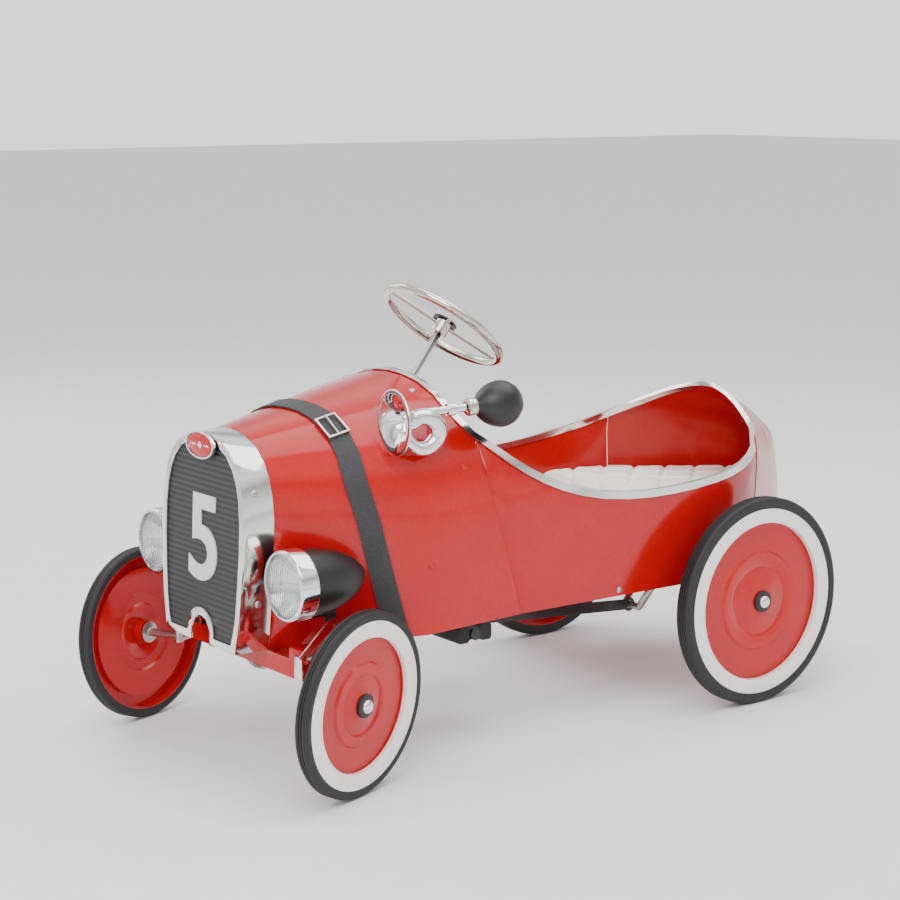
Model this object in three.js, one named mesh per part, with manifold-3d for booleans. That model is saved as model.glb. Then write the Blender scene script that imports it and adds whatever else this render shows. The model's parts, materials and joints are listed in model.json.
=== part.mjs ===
// A child's sheet-metal pedal car in the style of a 1930s racer: a loft of thin pressed panels on a
// two-rail chassis, swinging pedals with push rods to a cranked rear axle, and a steered front axle.
// Millimetres, +Z up. The car faces -Y and its left side is +X. The origin lies on the ground under
// the middle of the whole car. The rest position has the front wheels turned a little to the left.
import * as THREE from 'three';
import { mergeVertices } from 'three/addons/utils/BufferGeometryUtils.js';
import Module from 'manifold-3d';

const wasm = await Module();
wasm.setup();

// ---------- driving dimensions ----------
const REAR_AXLE_Y = 262.8;            // rear axle, behind the origin
// offset: from the car's middle to the rear tyre's middle, and from the kingpin to the front tyre's middle
const REAR_WHEEL = { radius: 140, width: 22, seat: 125.6, ring: 107.3, offset: 223.9 };
const FRONT_WHEEL = { radius: 112.8, width: 20, seat: 101, ring: 82.1, offset: 63.4 };
const WHEEL_SEGMENTS = 24;
const FRONT_AXLE_Y = -665;          // from the rear axle
const KINGPIN_X = 161;
const STEERING_ARM = 50;            // kingpin to tie rod pin, and steering column to pitman pin
const STEER_REST = THREE.MathUtils.degToRad(18.1);
const CAMBER = THREE.MathUtils.degToRad(3.5);
const SHEET = 1.6;                  // body sheet with its enamel
const GAP = 0.4;                    // running and assembly gap between pieces
const BELT_Z = 305;                 // widest line of the body
const SEAM_TOP_Z = 400;             // where the cowl seam meets the cockpit rim
const COWL_Y = -436;                // rear edge of the cowl at the middle
const HOOD_FRONT_Y = -680;
const CREASE_Y = 62;                // where the side panels meet the tail
const COLUMN_TILT = THREE.MathUtils.degToRad(39);
const STEERING_WHEEL = { y: -358, z: 514, radius: 83, tube: 6 };
const CRANK_RADIUS = 58;
const CRANK_ANGLE = THREE.MathUtils.degToRad(-133.6);   // left crank pin, from +Y towards +Z
const PEDAL_PIVOT = { y: -372, z: 300 };
const PEDAL_REACH = 176;            // pivot rod to push rod pin
const PEDAL_ANGLE = [0.65, 28.3].map(THREE.MathUtils.degToRad);   // left and right at rest, back from down
const LAMP = { x: 151, y: -703, z: 248 };
const LAMP_PIVOT = { y: -640, z: 195 };
const BEAM = { front: -681, back: -650, bottom: 130, top: 153, half: 150, raised: 167, sheet: 3 };

const V = (x, y, z) => new THREE.Vector3(x, y, z);
const { lerp, clamp, degToRad } = THREE.MathUtils;

// ---------- colours and finishes ----------
const finish = (color, roughness, metalness) =>
  () => new THREE.MeshStandardMaterial({ color, roughness, metalness });
const redEnamel = finish(0xd2141c, 0.2, 0.0);
const polished = finish(0xd8d8d6, 0.12, 1.0);
const zinc = finish(0xb4b2ac, 0.35, 1.0);
const rubber = finish(0x17171a, 0.65, 0.0);
const blackPlastic = finish(0x1b1b1d, 0.5, 0.0);
const blackSteel = finish(0x202022, 0.45, 0.5);
const leather = finish(0x1a1a1a, 0.7, 0.0);
const cream = finish(0xf3eeea, 0.6, 0.0);
const clearGlass = finish(0xe8edf0, 0.08, 0.0);

// ---------- solids ----------
function toSolid(geometry) {
  const plain = geometry.clone();
  plain.deleteAttribute('normal');
  plain.deleteAttribute('uv');
  const merged = mergeVertices(plain, 1e-4);
  return new wasm.Manifold(new wasm.Mesh({
    numProp: 3,
    vertProperties: new Float32Array(merged.attributes.position.array),
    triVerts: new Uint32Array(merged.index.array),
  }));
}

function toGeometry(solid) {
  const mesh = solid.getMesh();
  const geometry = new THREE.BufferGeometry();
  geometry.setAttribute('position', new THREE.BufferAttribute(mesh.vertProperties, 3));
  geometry.setIndex(new THREE.BufferAttribute(mesh.triVerts, 1));
  return geometry;
}

const join = (...pieces) => toGeometry(pieces.map(toSolid).reduce((a, b) => a.add(b)));
const cut = (piece, ...tools) =>
  toGeometry(tools.map(toSolid).reduce((a, b) => a.subtract(b), toSolid(piece)));

// Moves a geometry by a position and, before that, turns it by Euler angles.
function put(geometry, x, y, z, rx = 0, ry = 0, rz = 0) {
  const turn = new THREE.Matrix4().makeRotationFromEuler(new THREE.Euler(rx, ry, rz));
  return geometry.clone().applyMatrix4(turn).translate(x, y, z);
}

const box = (sx, sy, sz, x, y, z) => put(new THREE.BoxGeometry(sx, sy, sz), x, y, z);

// A round bar between two points.
function bar(from, to, radius, sides = 12) {
  const along = to.clone().sub(from);
  const geometry = new THREE.CylinderGeometry(radius, radius, along.length(), sides);
  const turn = new THREE.Quaternion().setFromUnitVectors(V(0, 1, 0), along.clone().normalize());
  return geometry.applyQuaternion(turn).translate(...from.clone().add(to).multiplyScalar(0.5).toArray());
}

// A round rod along a smooth curve through the points. radii is one radius, or one for each point.
function rod(points, radii, steps, sides = 10) {
  const curve = new THREE.CatmullRomCurve3(points, false, 'centripetal');
  const { normals, binormals } = curve.computeFrenetFrames(steps, false);
  const table = [].concat(radii);
  const rings = [];
  for (let i = 0; i <= steps; i += 1) {
    const share = (i / steps) * (table.length - 1);
    const k = Math.min(Math.floor(share), Math.max(0, table.length - 2));
    const radius = lerp(table[k], table[k + 1] ?? table[k], share - k);
    for (let j = 0; j < sides; j += 1) {
      const turn = (2 * Math.PI * j) / sides;
      rings.push(curve.getPoint(i / steps)
        .addScaledVector(normals[i], radius * Math.cos(turn))
        .addScaledVector(binormals[i], radius * Math.sin(turn)));
    }
  }
  const triangles = [];
  for (let i = 0; i < steps; i += 1) {
    for (let j = 0; j < sides; j += 1) {
      const [a, b] = [i * sides + j, i * sides + ((j + 1) % sides)];
      triangles.push(a, b, b + sides, a, b + sides, a + sides);
    }
  }
  for (let j = 1; j < sides - 1; j += 1) {
    triangles.push(0, j + 1, j, steps * sides, steps * sides + j, steps * sides + j + 1);
  }
  return closedGeometry(rings, triangles);
}

// A profile of [radius, distance along the axis] turned about the X axis.
function turned(profile, segments = 16) {
  const area = profile.reduce((sum, [radius, x], k) => {
    const [nextRadius, nextX] = profile[(k + 1) % profile.length];
    return sum + radius * nextX - nextRadius * x;
  }, 0);
  const points = profile.map(([radius, x]) => new THREE.Vector2(radius, x));
  return new THREE.LatheGeometry(area > 0 ? points : points.reverse(), segments).rotateZ(-Math.PI / 2);
}

// A flat outline in X and Z, given a thickness along Y from front to back.
function plate(shape, front, depth, curveSegments = 10) {
  const geometry = new THREE.ExtrudeGeometry(shape, { depth, bevelEnabled: false, curveSegments });
  return geometry.rotateX(Math.PI / 2).translate(0, front + depth, 0);
}

// Builds a closed geometry from points and triangles, with its faces pointing out.
function closedGeometry(points, triangles) {
  const corner = (k) => points[triangles[k]];
  let volume = 0;
  for (let k = 0; k < triangles.length; k += 3) {
    volume += corner(k).dot(corner(k + 1).clone().cross(corner(k + 2)));
  }
  const order = volume < 0 ? triangles.toReversed() : triangles;
  const geometry = new THREE.BufferGeometry().setFromPoints(points);
  geometry.setIndex([...order]);
  return geometry;
}

// Gives a grid of points on an outer skin a sheet thickness towards the inside. inset(i, j) is how
// far the skin lies under the given points.
function sheet(grid, inside, thickness = SHEET, inset = () => 0) {
  const rows = grid.length;
  const columns = grid[0].length;
  const at = (i, j) => grid[clamp(i, 0, rows - 1)][clamp(j, 0, columns - 1)];
  const normal = (i, j) => at(i + 1, j).clone().sub(at(i - 1, j))
    .cross(at(i, j + 1).clone().sub(at(i, j - 1))).normalize();
  const middle = [rows >> 1, columns >> 2];
  const side = Math.sign(normal(...middle).dot(inside.clone().sub(at(...middle))));
  const points = [];
  for (const depth of [0, thickness]) {
    for (let i = 0; i < rows; i += 1) {
      for (let j = 0; j < columns; j += 1) {
        points.push(at(i, j).clone().addScaledVector(normal(i, j), side * (depth + inset(i, j))));
      }
    }
  }
  const outer = (i, j) => i * columns + j;
  const inner = (i, j) => rows * columns + outer(i, j);
  const triangles = [];
  const quad = (a, b, c, d) => triangles.push(a, b, c, a, c, d);
  for (let i = 0; i < rows - 1; i += 1) {
    for (let j = 0; j < columns - 1; j += 1) {
      quad(outer(i, j), outer(i + 1, j), outer(i + 1, j + 1), outer(i, j + 1));
      quad(inner(i, j), inner(i, j + 1), inner(i + 1, j + 1), inner(i + 1, j));
    }
  }
  for (let i = 0; i < rows - 1; i += 1) {
    quad(outer(i, 0), inner(i, 0), inner(i + 1, 0), outer(i + 1, 0));
    quad(outer(i + 1, columns - 1), inner(i + 1, columns - 1), inner(i, columns - 1), outer(i, columns - 1));
  }
  for (let j = 0; j < columns - 1; j += 1) {
    quad(outer(0, j + 1), inner(0, j + 1), inner(0, j), outer(0, j));
    quad(outer(rows - 1, j), inner(rows - 1, j), inner(rows - 1, j + 1), outer(rows - 1, j + 1));
  }
  return closedGeometry(points, triangles);
}

// The room that a neighbour leaves around a sheet: the same sheet, a gap bigger all round.
function clearance(grid, inside, inset = () => 0) {
  const grown = grid.map((row) => row.map((point) => point.clone()));
  const push = (edge, next) => edge.addScaledVector(edge.clone().sub(next).normalize(), 2 * GAP);
  const lastRow = grid.length - 1;
  const lastColumn = grid[0].length - 1;
  for (let j = 0; j <= lastColumn; j += 1) {
    push(grown[0][j], grid[1][j]);
    push(grown[lastRow][j], grid[lastRow - 1][j]);
  }
  for (let i = 0; i <= lastRow; i += 1) {
    push(grown[i][0], grid[i][1]);
    push(grown[i][lastColumn], grid[i][lastColumn - 1]);
  }
  return sheet(grown, inside, SHEET + 2 * GAP, (i, j) => inset(i, j) - GAP);
}

// Straight-line lookup in a short table of [key, value] rows.
function along(table, key) {
  const last = table.length - 1;
  const k = clamp(table.findIndex((row) => row[0] >= key), 1, last);
  const [[a, from], [b, to]] = [table[k === -1 ? last - 1 : k - 1], table[k === -1 ? last : k]];
  return lerp(from, to, clamp((key - a) / (b - a), 0, 1));
}

// ---------- the scene graph ----------
const object = new THREE.Group();
const car = new THREE.Group();      // everything is placed from the rear axle's middle
car.position.y = REAR_AXLE_Y;
object.add(car);

function add(name, geometry, material, parent = car) {
  const mesh = new THREE.Mesh(geometry, material());
  mesh.name = name;
  parent.add(mesh);
  return mesh;
}

// ---------- shape of the body ----------
// Half widths at the belt and at the bottom edge, and the bottom edge's height, by station.
const BELT_X = [[-680, 97], [-610, 127], [-509, 177], [-400, 181], [-306, 184], [-200, 190],
  [-120, 192], [-60, 192]];
const BOTTOM_X = [[-680, 78], [-610, 113], [-509, 171], [-360, 171], [-79, 175], [62, 146]];
const BOTTOM_Z = [[-680, 149], [-509, 163], [-360, 167], [62, 165]];
const crownZ = (y) => 463.7 + 0.218 * Math.min(0, y - COWL_Y);
const crownRoundness = (y) => lerp(2.5, 2.12, clamp((y - HOOD_FRONT_Y) / 252, 0, 1));

function beltX(y) {
  const back = -60;
  return y < back ? along(BELT_X, y) : 192 - 37 * ((y - back) / (CREASE_Y - back)) ** 2.4;
}

// Half width of the body at a station and height.
function sideX(y, z) {
  const bottomZ = along(BOTTOM_Z, y);
  if (z < BELT_Z) {
    const rise = Math.max(0, (z - bottomZ) / (BELT_Z - bottomZ));
    return lerp(along(BOTTOM_X, y), beltX(y), rise ** 0.75);
  }
  const n = crownRoundness(y);
  return beltX(y) * (1 - ((z - BELT_Z) / (crownZ(y) - BELT_Z)) ** n) ** (1 / n);
}

// Points across the hood, from the bottom edge (0) over the belt (4) to the crown (11).
const LOWER_STEPS = 4;
const ARCH_ANGLES = [0, 18, 35.4, 48, 60, 71, 81, 90].map(degToRad);
const HALF_STEPS = LOWER_STEPS + ARCH_ANGLES.length - 1;

function hoodHalf(step, y) {
  if (step < LOWER_STEPS) {
    const z = lerp(along(BOTTOM_Z, y), BELT_Z, step / LOWER_STEPS);
    return [sideX(y, z), z];
  }
  const angle = ARCH_ANGLES[step - LOWER_STEPS];
  const power = 2 / crownRoundness(y);
  const rise = Math.sin(angle) ** power;
  return [beltX(y) * Math.max(0, Math.cos(angle)) ** power, lerp(BELT_Z, crownZ(y), rise)];
}

// step runs from 0 at the left bottom edge to 2 * HALF_STEPS at the right bottom edge.
function hoodPoint(step, y) {
  const mirrored = step > HALF_STEPS;
  const [x, z] = hoodHalf(mirrored ? 2 * HALF_STEPS - step : step, y);
  return V(mirrored ? -x : x, y, z);
}

const seamY = (z) => Math.max(-424.5, -366 - 0.345 * (z - 170));
const cowlEdgeY = (z) => -438 + (z < 425 ? 13.5 * ((425 - z) / 25) ** 2 : 0);

function hoodRearY(step) {
  const half = step > HALF_STEPS ? 2 * HALF_STEPS - step : step;
  const z = hoodHalf(half, COWL_Y)[1];
  return z < SEAM_TOP_Z - 1 ? seamY(z) : cowlEdgeY(z);
}

// ---------- hood and cowl ----------
const HOOD_ROWS = [-680, -652, -622, -590, -558, -530, -509, -485, -460];
const hoodSteps = Array.from({ length: 2 * HALF_STEPS + 1 }, (_, step) => step);
const hoodGrid = [
  ...HOOD_ROWS.map((y) => hoodSteps.map((step) => hoodPoint(step, y))),
  hoodSteps.map((step) => hoodPoint(step, hoodRearY(step))),
];
const INSIDE = V(0, -400, 250);
const beamDepth = BEAM.back - BEAM.front;
const beamY = (BEAM.front + BEAM.back) / 2;
const beamNotch = box(2 * BEAM.half, beamDepth + 2 * GAP, 40, 0, beamY, BEAM.top + GAP - 20);
add('hood_and_cowl', cut(sheet(hoodGrid, INSIDE), beamNotch), redEnamel);
const hoodClearance = clearance(hoodGrid, INSIDE);
const panelClearances = [];           // what the trim's slot must stay clear of

// ---------- side panels ----------
// The rim is a curve of [y, z]; the side panels run from the cowl seam to the tail crease.
const RIM = new THREE.SplineCurve([
  [-424.5, 400], [-405, 384.5], [-374, 361], [-337, 339.5], [-290, 321], [-236, 308.5], [-170, 303],
  [-110, 304], [-50, 309.5], [0, 318.5], [34, 328.5], [CREASE_Y, 343]].map((p) => new THREE.Vector2(...p)));
const SIDE_COLUMNS = 18;
const SIDE_ROWS = 6;
const LAP = 12;                     // how far the side panel reaches under the cowl
const LAP_GAP = 1.8;

function sideColumn(k, side) {
  const tucked = k < 0;
  const rim = RIM.getPoint(Math.max(0, k) / SIDE_COLUMNS);
  const bottomY = lerp(seamY(167), CREASE_Y, Math.max(0, k) / SIDE_COLUMNS);
  const bottomZ = along(BOTTOM_Z, bottomY);
  const shift = k === -2 ? -LAP : 1.5;
  return Array.from({ length: SIDE_ROWS + 1 }, (_, row) => {
    const rise = row / SIDE_ROWS;
    const topZ = tucked ? SEAM_TOP_Z - 16 : rim.y;
    const z = lerp(bottomZ, topZ, rise);
    const y = k <= 0 ? seamY(z) + (tucked ? shift : 5) : lerp(bottomY, rim.x, rise);
    return V(side * sideX(y, z), y, z);
  });
}

for (const [name, side] of [['body_side_left', 1], ['body_side_right', -1]]) {
  const columns = Array.from({ length: SIDE_COLUMNS + 3 }, (_, i) => sideColumn(i - 2, side));
  const tuck = (i) => (i < 2 ? SHEET + LAP_GAP : 0);
  add(name, cut(sheet(columns, INSIDE, SHEET, tuck), hoodClearance), redEnamel);
  panelClearances.push(clearance(columns, INSIDE, tuck));
}

// ---------- tail ----------
const TAIL_ROWS = [165, 190, 215, 240, 265, 290, 312, 328, 343, 352, 361, 370, 379, 387, 392, 395.4];
const TAIL_HALF = 6;
const TAIL_GAP = 1.2;
const RIM_X = [[343, 151.3], [360, 116], [378, 77], [389, 45], [395.4, 12]];
const RIM_Y = [[343, 62], [360, 84], [378, 100], [389, 110], [395.4, 119]];
const RIDGE_Y = [[165, 266], [239, 264], [300, 253], [313, 248], [330, 231], [353, 200], [378, 160],
  [390, 136], [395.4, 123]];

const tailSide = (z) => (z <= 343 ? V(sideX(CREASE_Y, z), CREASE_Y, z) : V(along(RIM_X, z), along(RIM_Y, z), z));

function tailPoint(z, t) {
  const edge = tailSide(z);
  const bulge = 5 * Math.sin(Math.PI * Math.abs(t)) * clamp((396 - z) / 60, 0, 1);
  const ridge = V(0, along(RIDGE_Y, z), z);
  const point = ridge.lerp(edge, Math.abs(t));
  point.add(V(0.75 * bulge, 0.66 * bulge, 0));
  return V(Math.sign(t) * point.x, point.y, z);
}

const tailGrid = TAIL_ROWS.map((z) => Array.from({ length: 2 * TAIL_HALF + 1 }, (_, j) => {
  const point = tailPoint(z, 1 - j / TAIL_HALF);
  return point.add(V(0, TAIL_GAP, 0));
}));
add('tail_cone', sheet(tailGrid, V(0, 60, 240)), redEnamel);
panelClearances.push(clearance(tailGrid, V(0, 60, 240)));

// ---------- cockpit trim ----------
// A U-shaped bright edge that straddles the rim all the way round.
const SLOT = [-SHEET - 1.4, 1.2];   // inner and outer wall of the slot that holds the sheet
const TRIM_SECTION = [[SLOT[0] - 1.2, 6], [SLOT[0] - 0.8, -2.4], [SLOT[1] + 0.8, -2.4], [SLOT[1] + 1.2, 7.5],
  [SLOT[1], 7.5], [SLOT[1], -GAP], [SLOT[0], -GAP], [SLOT[0], 6]];   // [out from the sheet, down from its edge]

function rimStations() {
  const left = [];
  const seamStep = LOWER_STEPS + 2;
  for (let step = HALF_STEPS; step >= seamStep; step -= 1) {
    const y = hoodRearY(step);
    left.push([hoodPoint(step, y), hoodPoint(step, y - 5)]);
  }
  for (let k = 1; k < SIDE_COLUMNS; k += 1) {
    const rim = RIM.getPoint(k / SIDE_COLUMNS);
    left.push([V(sideX(rim.x, rim.y), rim.x, rim.y), V(sideX(rim.x, rim.y - 5), rim.x, rim.y - 5)]);
  }
  for (const z of TAIL_ROWS.slice(TAIL_ROWS.indexOf(352))) {
    const edge = tailPoint(z, 1).add(V(0, TAIL_GAP, 0));
    left.push([edge, tailPoint(z, 0.93).add(V(0, TAIL_GAP, 0))]);
  }
  const mirror = ([a, b]) => [V(-a.x, a.y, a.z), V(-b.x, b.y, b.z)];
  return [...left, ...left.slice(1).reverse().map(mirror)];
}

function trimGeometry() {
  const stations = rimStations();
  const count = stations.length;
  const points = [];
  stations.forEach(([edge, inner], k) => {
    const ahead = stations[(k + 1) % count][0];
    const behind = stations[(k + count - 1) % count][0];
    const tangent = ahead.clone().sub(behind).normalize();
    const down = inner.clone().sub(edge);
    down.addScaledVector(tangent, -down.dot(tangent)).normalize();
    const out = down.clone().cross(tangent).normalize();
    for (const [n, s] of TRIM_SECTION) {
      points.push(edge.clone().addScaledVector(out, n).addScaledVector(down, s));
    }
  });
  const size = TRIM_SECTION.length;
  const triangles = [];
  for (let k = 0; k < count; k += 1) {
    for (let m = 0; m < size; m += 1) {
      const [a, b] = [k * size + m, k * size + ((m + 1) % size)];
      const [c, d] = [((k + 1) % count) * size + ((m + 1) % size), ((k + 1) % count) * size + m];
      triangles.push(a, b, c, a, c, d);
    }
  }
  return closedGeometry(points, triangles);
}
add('cockpit_trim', cut(trimGeometry(), ...panelClearances), polished);

// ---------- grille ----------
// The front face leans back slightly as it rises.
const GRILLE_FRONT_Y = -728;
const GRILLE_BOTTOM_Z = 154;
const GRILLE_LEAN = 0.044;
const GRILLE_HALF = [[80, 154], [84.5, 175], [89, 200], [92.5, 236], [95, 276], [94.5, 314], [91, 341],
  [84.5, 362], [74, 380], [58, 396], [38, 405.5], [18, 409.5], [0, 410.5]];
const GRILLE_BORDER = 9.5;
const NOTCH = { half: 21, inner: 30.5, springZ: 166 };

const lean = new THREE.Matrix4().makeShear(0, 0, 0, 0, 0, GRILLE_LEAN);
const leanBack = (geometry) => geometry.translate(0, 0, -GRILLE_BOTTOM_Z)
  .applyMatrix4(lean).translate(0, GRILLE_FRONT_Y, GRILLE_BOTTOM_Z);

// The grille's outline, drawn in by an inset, with an arched notch at the bottom for the handle.
function grilleShape(inset, notchHalf) {
  const half = GRILLE_HALF.map(([x, z]) => [x, z]);
  const inner = half.map(([x, z], k) => {
    const [ax, az] = half[Math.max(0, k - 1)];
    const [bx, bz] = half[Math.min(half.length - 1, k + 1)];
    const length = Math.hypot(bx - ax, bz - az);
    return [x - (inset * (bz - az)) / length, z + (inset * (bx - ax)) / length];
  });
  inner[0] = [inner[0][0], GRILLE_BOTTOM_Z + inset];
  inner[inner.length - 1][0] = 0;
  const shape = new THREE.Shape();
  shape.moveTo(...inner[0]);
  inner.slice(1).forEach((p) => shape.lineTo(...p));
  inner.slice(0, -1).reverse().forEach(([x, z]) => shape.lineTo(-x, z));
  shape.lineTo(-notchHalf, GRILLE_BOTTOM_Z + inset);
  shape.absarc(0, NOTCH.springZ, notchHalf, Math.PI, 0, true);
  shape.lineTo(notchHalf, GRILLE_BOTTOM_Z + inset);
  return shape;
}

const facePlate = grilleShape(0, NOTCH.half);
facePlate.holes.push(grilleShape(GRILLE_BORDER, NOTCH.inner));
const faceSolid = leanBack(plate(facePlate, 0, 2.5, 8));

const SHELL_STEP = 1.5;             // the shell stands this proud of the hood behind it
function shellRow(k, depthShare) {
  const [x, z] = GRILLE_HALF[k];
  const y = GRILLE_FRONT_Y + GRILLE_LEAN * (z - GRILLE_BOTTOM_Z);
  const scaleZ = (crownZ(HOOD_FRONT_Y) + SHELL_STEP - GRILLE_BOTTOM_Z) / (410.5 - GRILLE_BOTTOM_Z);
  const rearZ = GRILLE_BOTTOM_Z + (z - GRILLE_BOTTOM_Z) * scaleZ;
  const rearX = x === 0 ? 0 : sideX(HOOD_FRONT_Y, Math.min(rearZ, crownZ(HOOD_FRONT_Y) - 0.4)) + SHELL_STEP;
  return V(lerp(x, rearX, depthShare), lerp(y, HOOD_FRONT_Y - 3 * GAP, depthShare), lerp(z, rearZ, depthShare));
}
const shellGrid = [0, 0.25, 1].map((share) => {
  const left = GRILLE_HALF.map((_, k) => shellRow(k, share));
  return [...left, ...left.slice(0, -1).reverse().map((p) => V(-p.x, p.y, p.z))];
});
add('grille_shell', join(sheet(shellGrid, V(0, -705, 250), 1.5), faceSolid), polished);

const meshInset = 3;
const meshPanel = leanBack(plate(grilleShape(meshInset, NOTCH.half + meshInset), 2.9, 1.6, 8));
add('grille_mesh', meshPanel, blackSteel);

// ---------- badge ----------
const BADGE = { z: 396, halfWidth: 32, halfHeight: 17 };
const oval = (a, b) => new THREE.Shape().absellipse(0, 0, a, b, 0, 2 * Math.PI);
function ovalDisc(a, b, front, depth, hole) {
  const shape = oval(a, b);
  if (hole) shape.holes.push(oval(...hole));
  const geometry = new THREE.ExtrudeGeometry(shape, { depth, bevelEnabled: false, curveSegments: 14 });
  return geometry.rotateX(Math.PI / 2).translate(0, front + depth, BADGE.z);
}
const badgeFront = GRILLE_FRONT_Y + GRILLE_LEAN * (BADGE.z - 22 - GRILLE_BOTTOM_Z) - 5.4;
add('badge_bezel', ovalDisc(BADGE.halfWidth, BADGE.halfHeight, badgeFront, 4.6,
  [BADGE.halfWidth - 2.2, BADGE.halfHeight - 2.2]), polished);
add('badge_plate', ovalDisc(BADGE.halfWidth - 2.6, BADGE.halfHeight - 2.6, badgeFront + 1, 3), redEnamel);

// ---------- floor, rails and seat ----------
// Plan outline of the inside of the body at the seat, drawn in by an inset.
function seatShape(front, inset, z) {
  const stations = [front, front + 40, -10, 25, CREASE_Y - 4];
  const half = stations.map((y) => [sideX(y, z) - inset, y]);
  half.push([104 - inset, 122], [52 - inset, 188], [16, 232 - 1.4 * inset]);
  const shape = new THREE.Shape();
  shape.moveTo(...half[0]);
  half.slice(1).forEach((p) => shape.lineTo(...p));
  half.reverse().forEach(([x, y]) => shape.lineTo(-x, y));
  return shape;
}
const slab = (shape, z, depth) =>
  new THREE.ExtrudeGeometry(shape, { depth, bevelEnabled: false, curveSegments: 8 }).translate(0, 0, z);

const SEAT_PAN_Z = 214.5;            // clears the push rods as they pass over the axle
const CUSHION_DEPTH = 43.5;
add('seat_pan', slab(seatShape(-92, SHEET + 1, SEAT_PAN_Z), SEAT_PAN_Z, 2), redEnamel);
add('seat_cushion', slab(seatShape(-72, 8, 250), SEAT_PAN_Z + 2 + GAP, CUSHION_DEPTH), cream);

// The rails run in towards each other at the front, where they stand on the axle beam.
const RAIL = { x: 98, width: 12, bottom: 153.4, height: 18, frontX: 75, front: -668, bend: -618, back: 37 };
const railCourse = (edge) => [[RAIL.frontX + edge, RAIL.front], [RAIL.x + edge, RAIL.bend],
  [RAIL.x + edge, RAIL.back]];
for (const [name, side] of [['chassis_rail_left', 1], ['chassis_rail_right', -1]]) {
  const outline = [...railCourse(RAIL.width / 2), ...railCourse(-RAIL.width / 2).reverse()];
  const shape = new THREE.Shape(outline.map(([x, y]) => new THREE.Vector2(side * x, y)));
  add(name, slab(shape, RAIL.bottom, RAIL.height), blackSteel);
}

// ---------- front axle beam ----------
// A channel that is open at the bottom, with a bush at each end for the kingpin.
const KINGPIN = { radius: 5.5, bush: 9.5, bottom: 108.5, top: 156.5 };
const PIN_GAP = 0.4;
const channel = cut(
  box(2 * BEAM.half, beamDepth, BEAM.top - BEAM.bottom, 0, beamY, (BEAM.top + BEAM.bottom) / 2),
  box(2 * BEAM.half - 16, beamDepth - 2 * BEAM.sheet, BEAM.top - BEAM.bottom, 0, beamY,
    (BEAM.top + BEAM.bottom) / 2 - BEAM.sheet));
const beamPieces = [channel];
const kingpinHoles = [];
for (const side of [1, -1]) {
  const [x, z] = [side * KINGPIN_X, (BEAM.top + BEAM.bottom) / 2];
  const axis = (radius, from, to) =>
    bar(V(x, FRONT_AXLE_Y, from), V(x, FRONT_AXLE_Y, to), radius, 16);
  beamPieces.push(box(24, beamDepth, BEAM.raised - z, side * (BEAM.half - 12), beamY, (BEAM.raised + z) / 2));
  beamPieces.push(box(10, 12, BEAM.top - BEAM.bottom, side * (BEAM.half + 1), FRONT_AXLE_Y, z));
  beamPieces.push(axis(KINGPIN.bush, BEAM.bottom, BEAM.top));
  kingpinHoles.push(axis(KINGPIN.radius + PIN_GAP, BEAM.bottom - 1, BEAM.top + 1));
}
add('front_axle_beam', cut(join(...beamPieces), ...kingpinHoles), redEnamel);

// A round bar bent to a U that hangs behind the middle of the beam.
const HOOP = { half: 25.5, y: BEAM.back + GAP + 3.5, radius: 3.5, top: 146, bottom: 109.5 };
const hoopPath = [V(-HOOP.half, HOOP.y, HOOP.top), V(-HOOP.half, HOOP.y, HOOP.bottom + 18),
  V(-0.74 * HOOP.half, HOOP.y, HOOP.bottom + 5), V(0, HOOP.y, HOOP.bottom),
  V(0.74 * HOOP.half, HOOP.y, HOOP.bottom + 5), V(HOOP.half, HOOP.y, HOOP.bottom + 18),
  V(HOOP.half, HOOP.y, HOOP.top)];
add('front_hoop', rod(hoopPath, HOOP.radius, 18, 8), zinc);

// ---------- wheels ----------
// Profiles are [radius, distance outboard of the wheel's middle].
const HUB = { bore: KINGPIN.radius + PIN_GAP, radius: 14, cap: 9, capLength: 8 };

function wheelParts(size) {
  const half = size.width / 2;
  const { radius, seat, ring } = size;
  const tyre = [[seat + 0.3, half - 1], [radius - 7, half], [radius, half - 5], [radius, 5 - half],
    [radius - 7, -half], [seat + 0.3, 1 - half]];
  const disc = [[HUB.bore, half - 2], [HUB.radius, half - 2], [HUB.radius + 1, 1], [ring, 1],
    [ring + 1, half], [seat, half], [seat, 1 - half], [seat - 1.8, 1 - half],
    [seat - 1.8, half - 1.6], [ring + 2.6, half - 1.6], [ring + 1.6, -0.6],
    [HUB.radius + 1, -0.6], [HUB.radius, -half], [HUB.bore, -half]];
  const nut = half + HUB.capLength;
  const cap = [[0, nut], [HUB.cap * 0.6, nut - 1], [HUB.cap, nut - 4], [HUB.cap, half - 1.6],
    [HUB.bore, half - 1.6], [HUB.bore, nut - 3], [0, nut - 3]];
  return { tyre, disc, cap };
}

const closeLoop = (profile) => [...profile, profile[0]];

function addWheel(place, size, parent, side) {
  const parts = wheelParts(size);
  const flip = side < 0 ? Math.PI : 0;
  const turnRound = (geometry) => geometry.rotateZ(flip).translate(side * size.offset, 0, 0);
  add(`tyre_${place}`, turnRound(turned(closeLoop(parts.tyre), WHEEL_SEGMENTS)), rubber, parent);
  add(`wheel_disc_${place}`, turnRound(turned(closeLoop(parts.disc), WHEEL_SEGMENTS)), redEnamel, parent);
  add(`hub_cap_${place}`, turnRound(turned(parts.cap, 16)), polished, parent);
}

// ---------- rear axle ----------
const rearAxle = new THREE.Group();
rearAxle.position.z = REAR_WHEEL.radius;
car.add(rearAxle);
addWheel('rear_left', REAR_WHEEL, rearAxle, 1);
addWheel('rear_right', REAR_WHEEL, rearAxle, -1);

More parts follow.
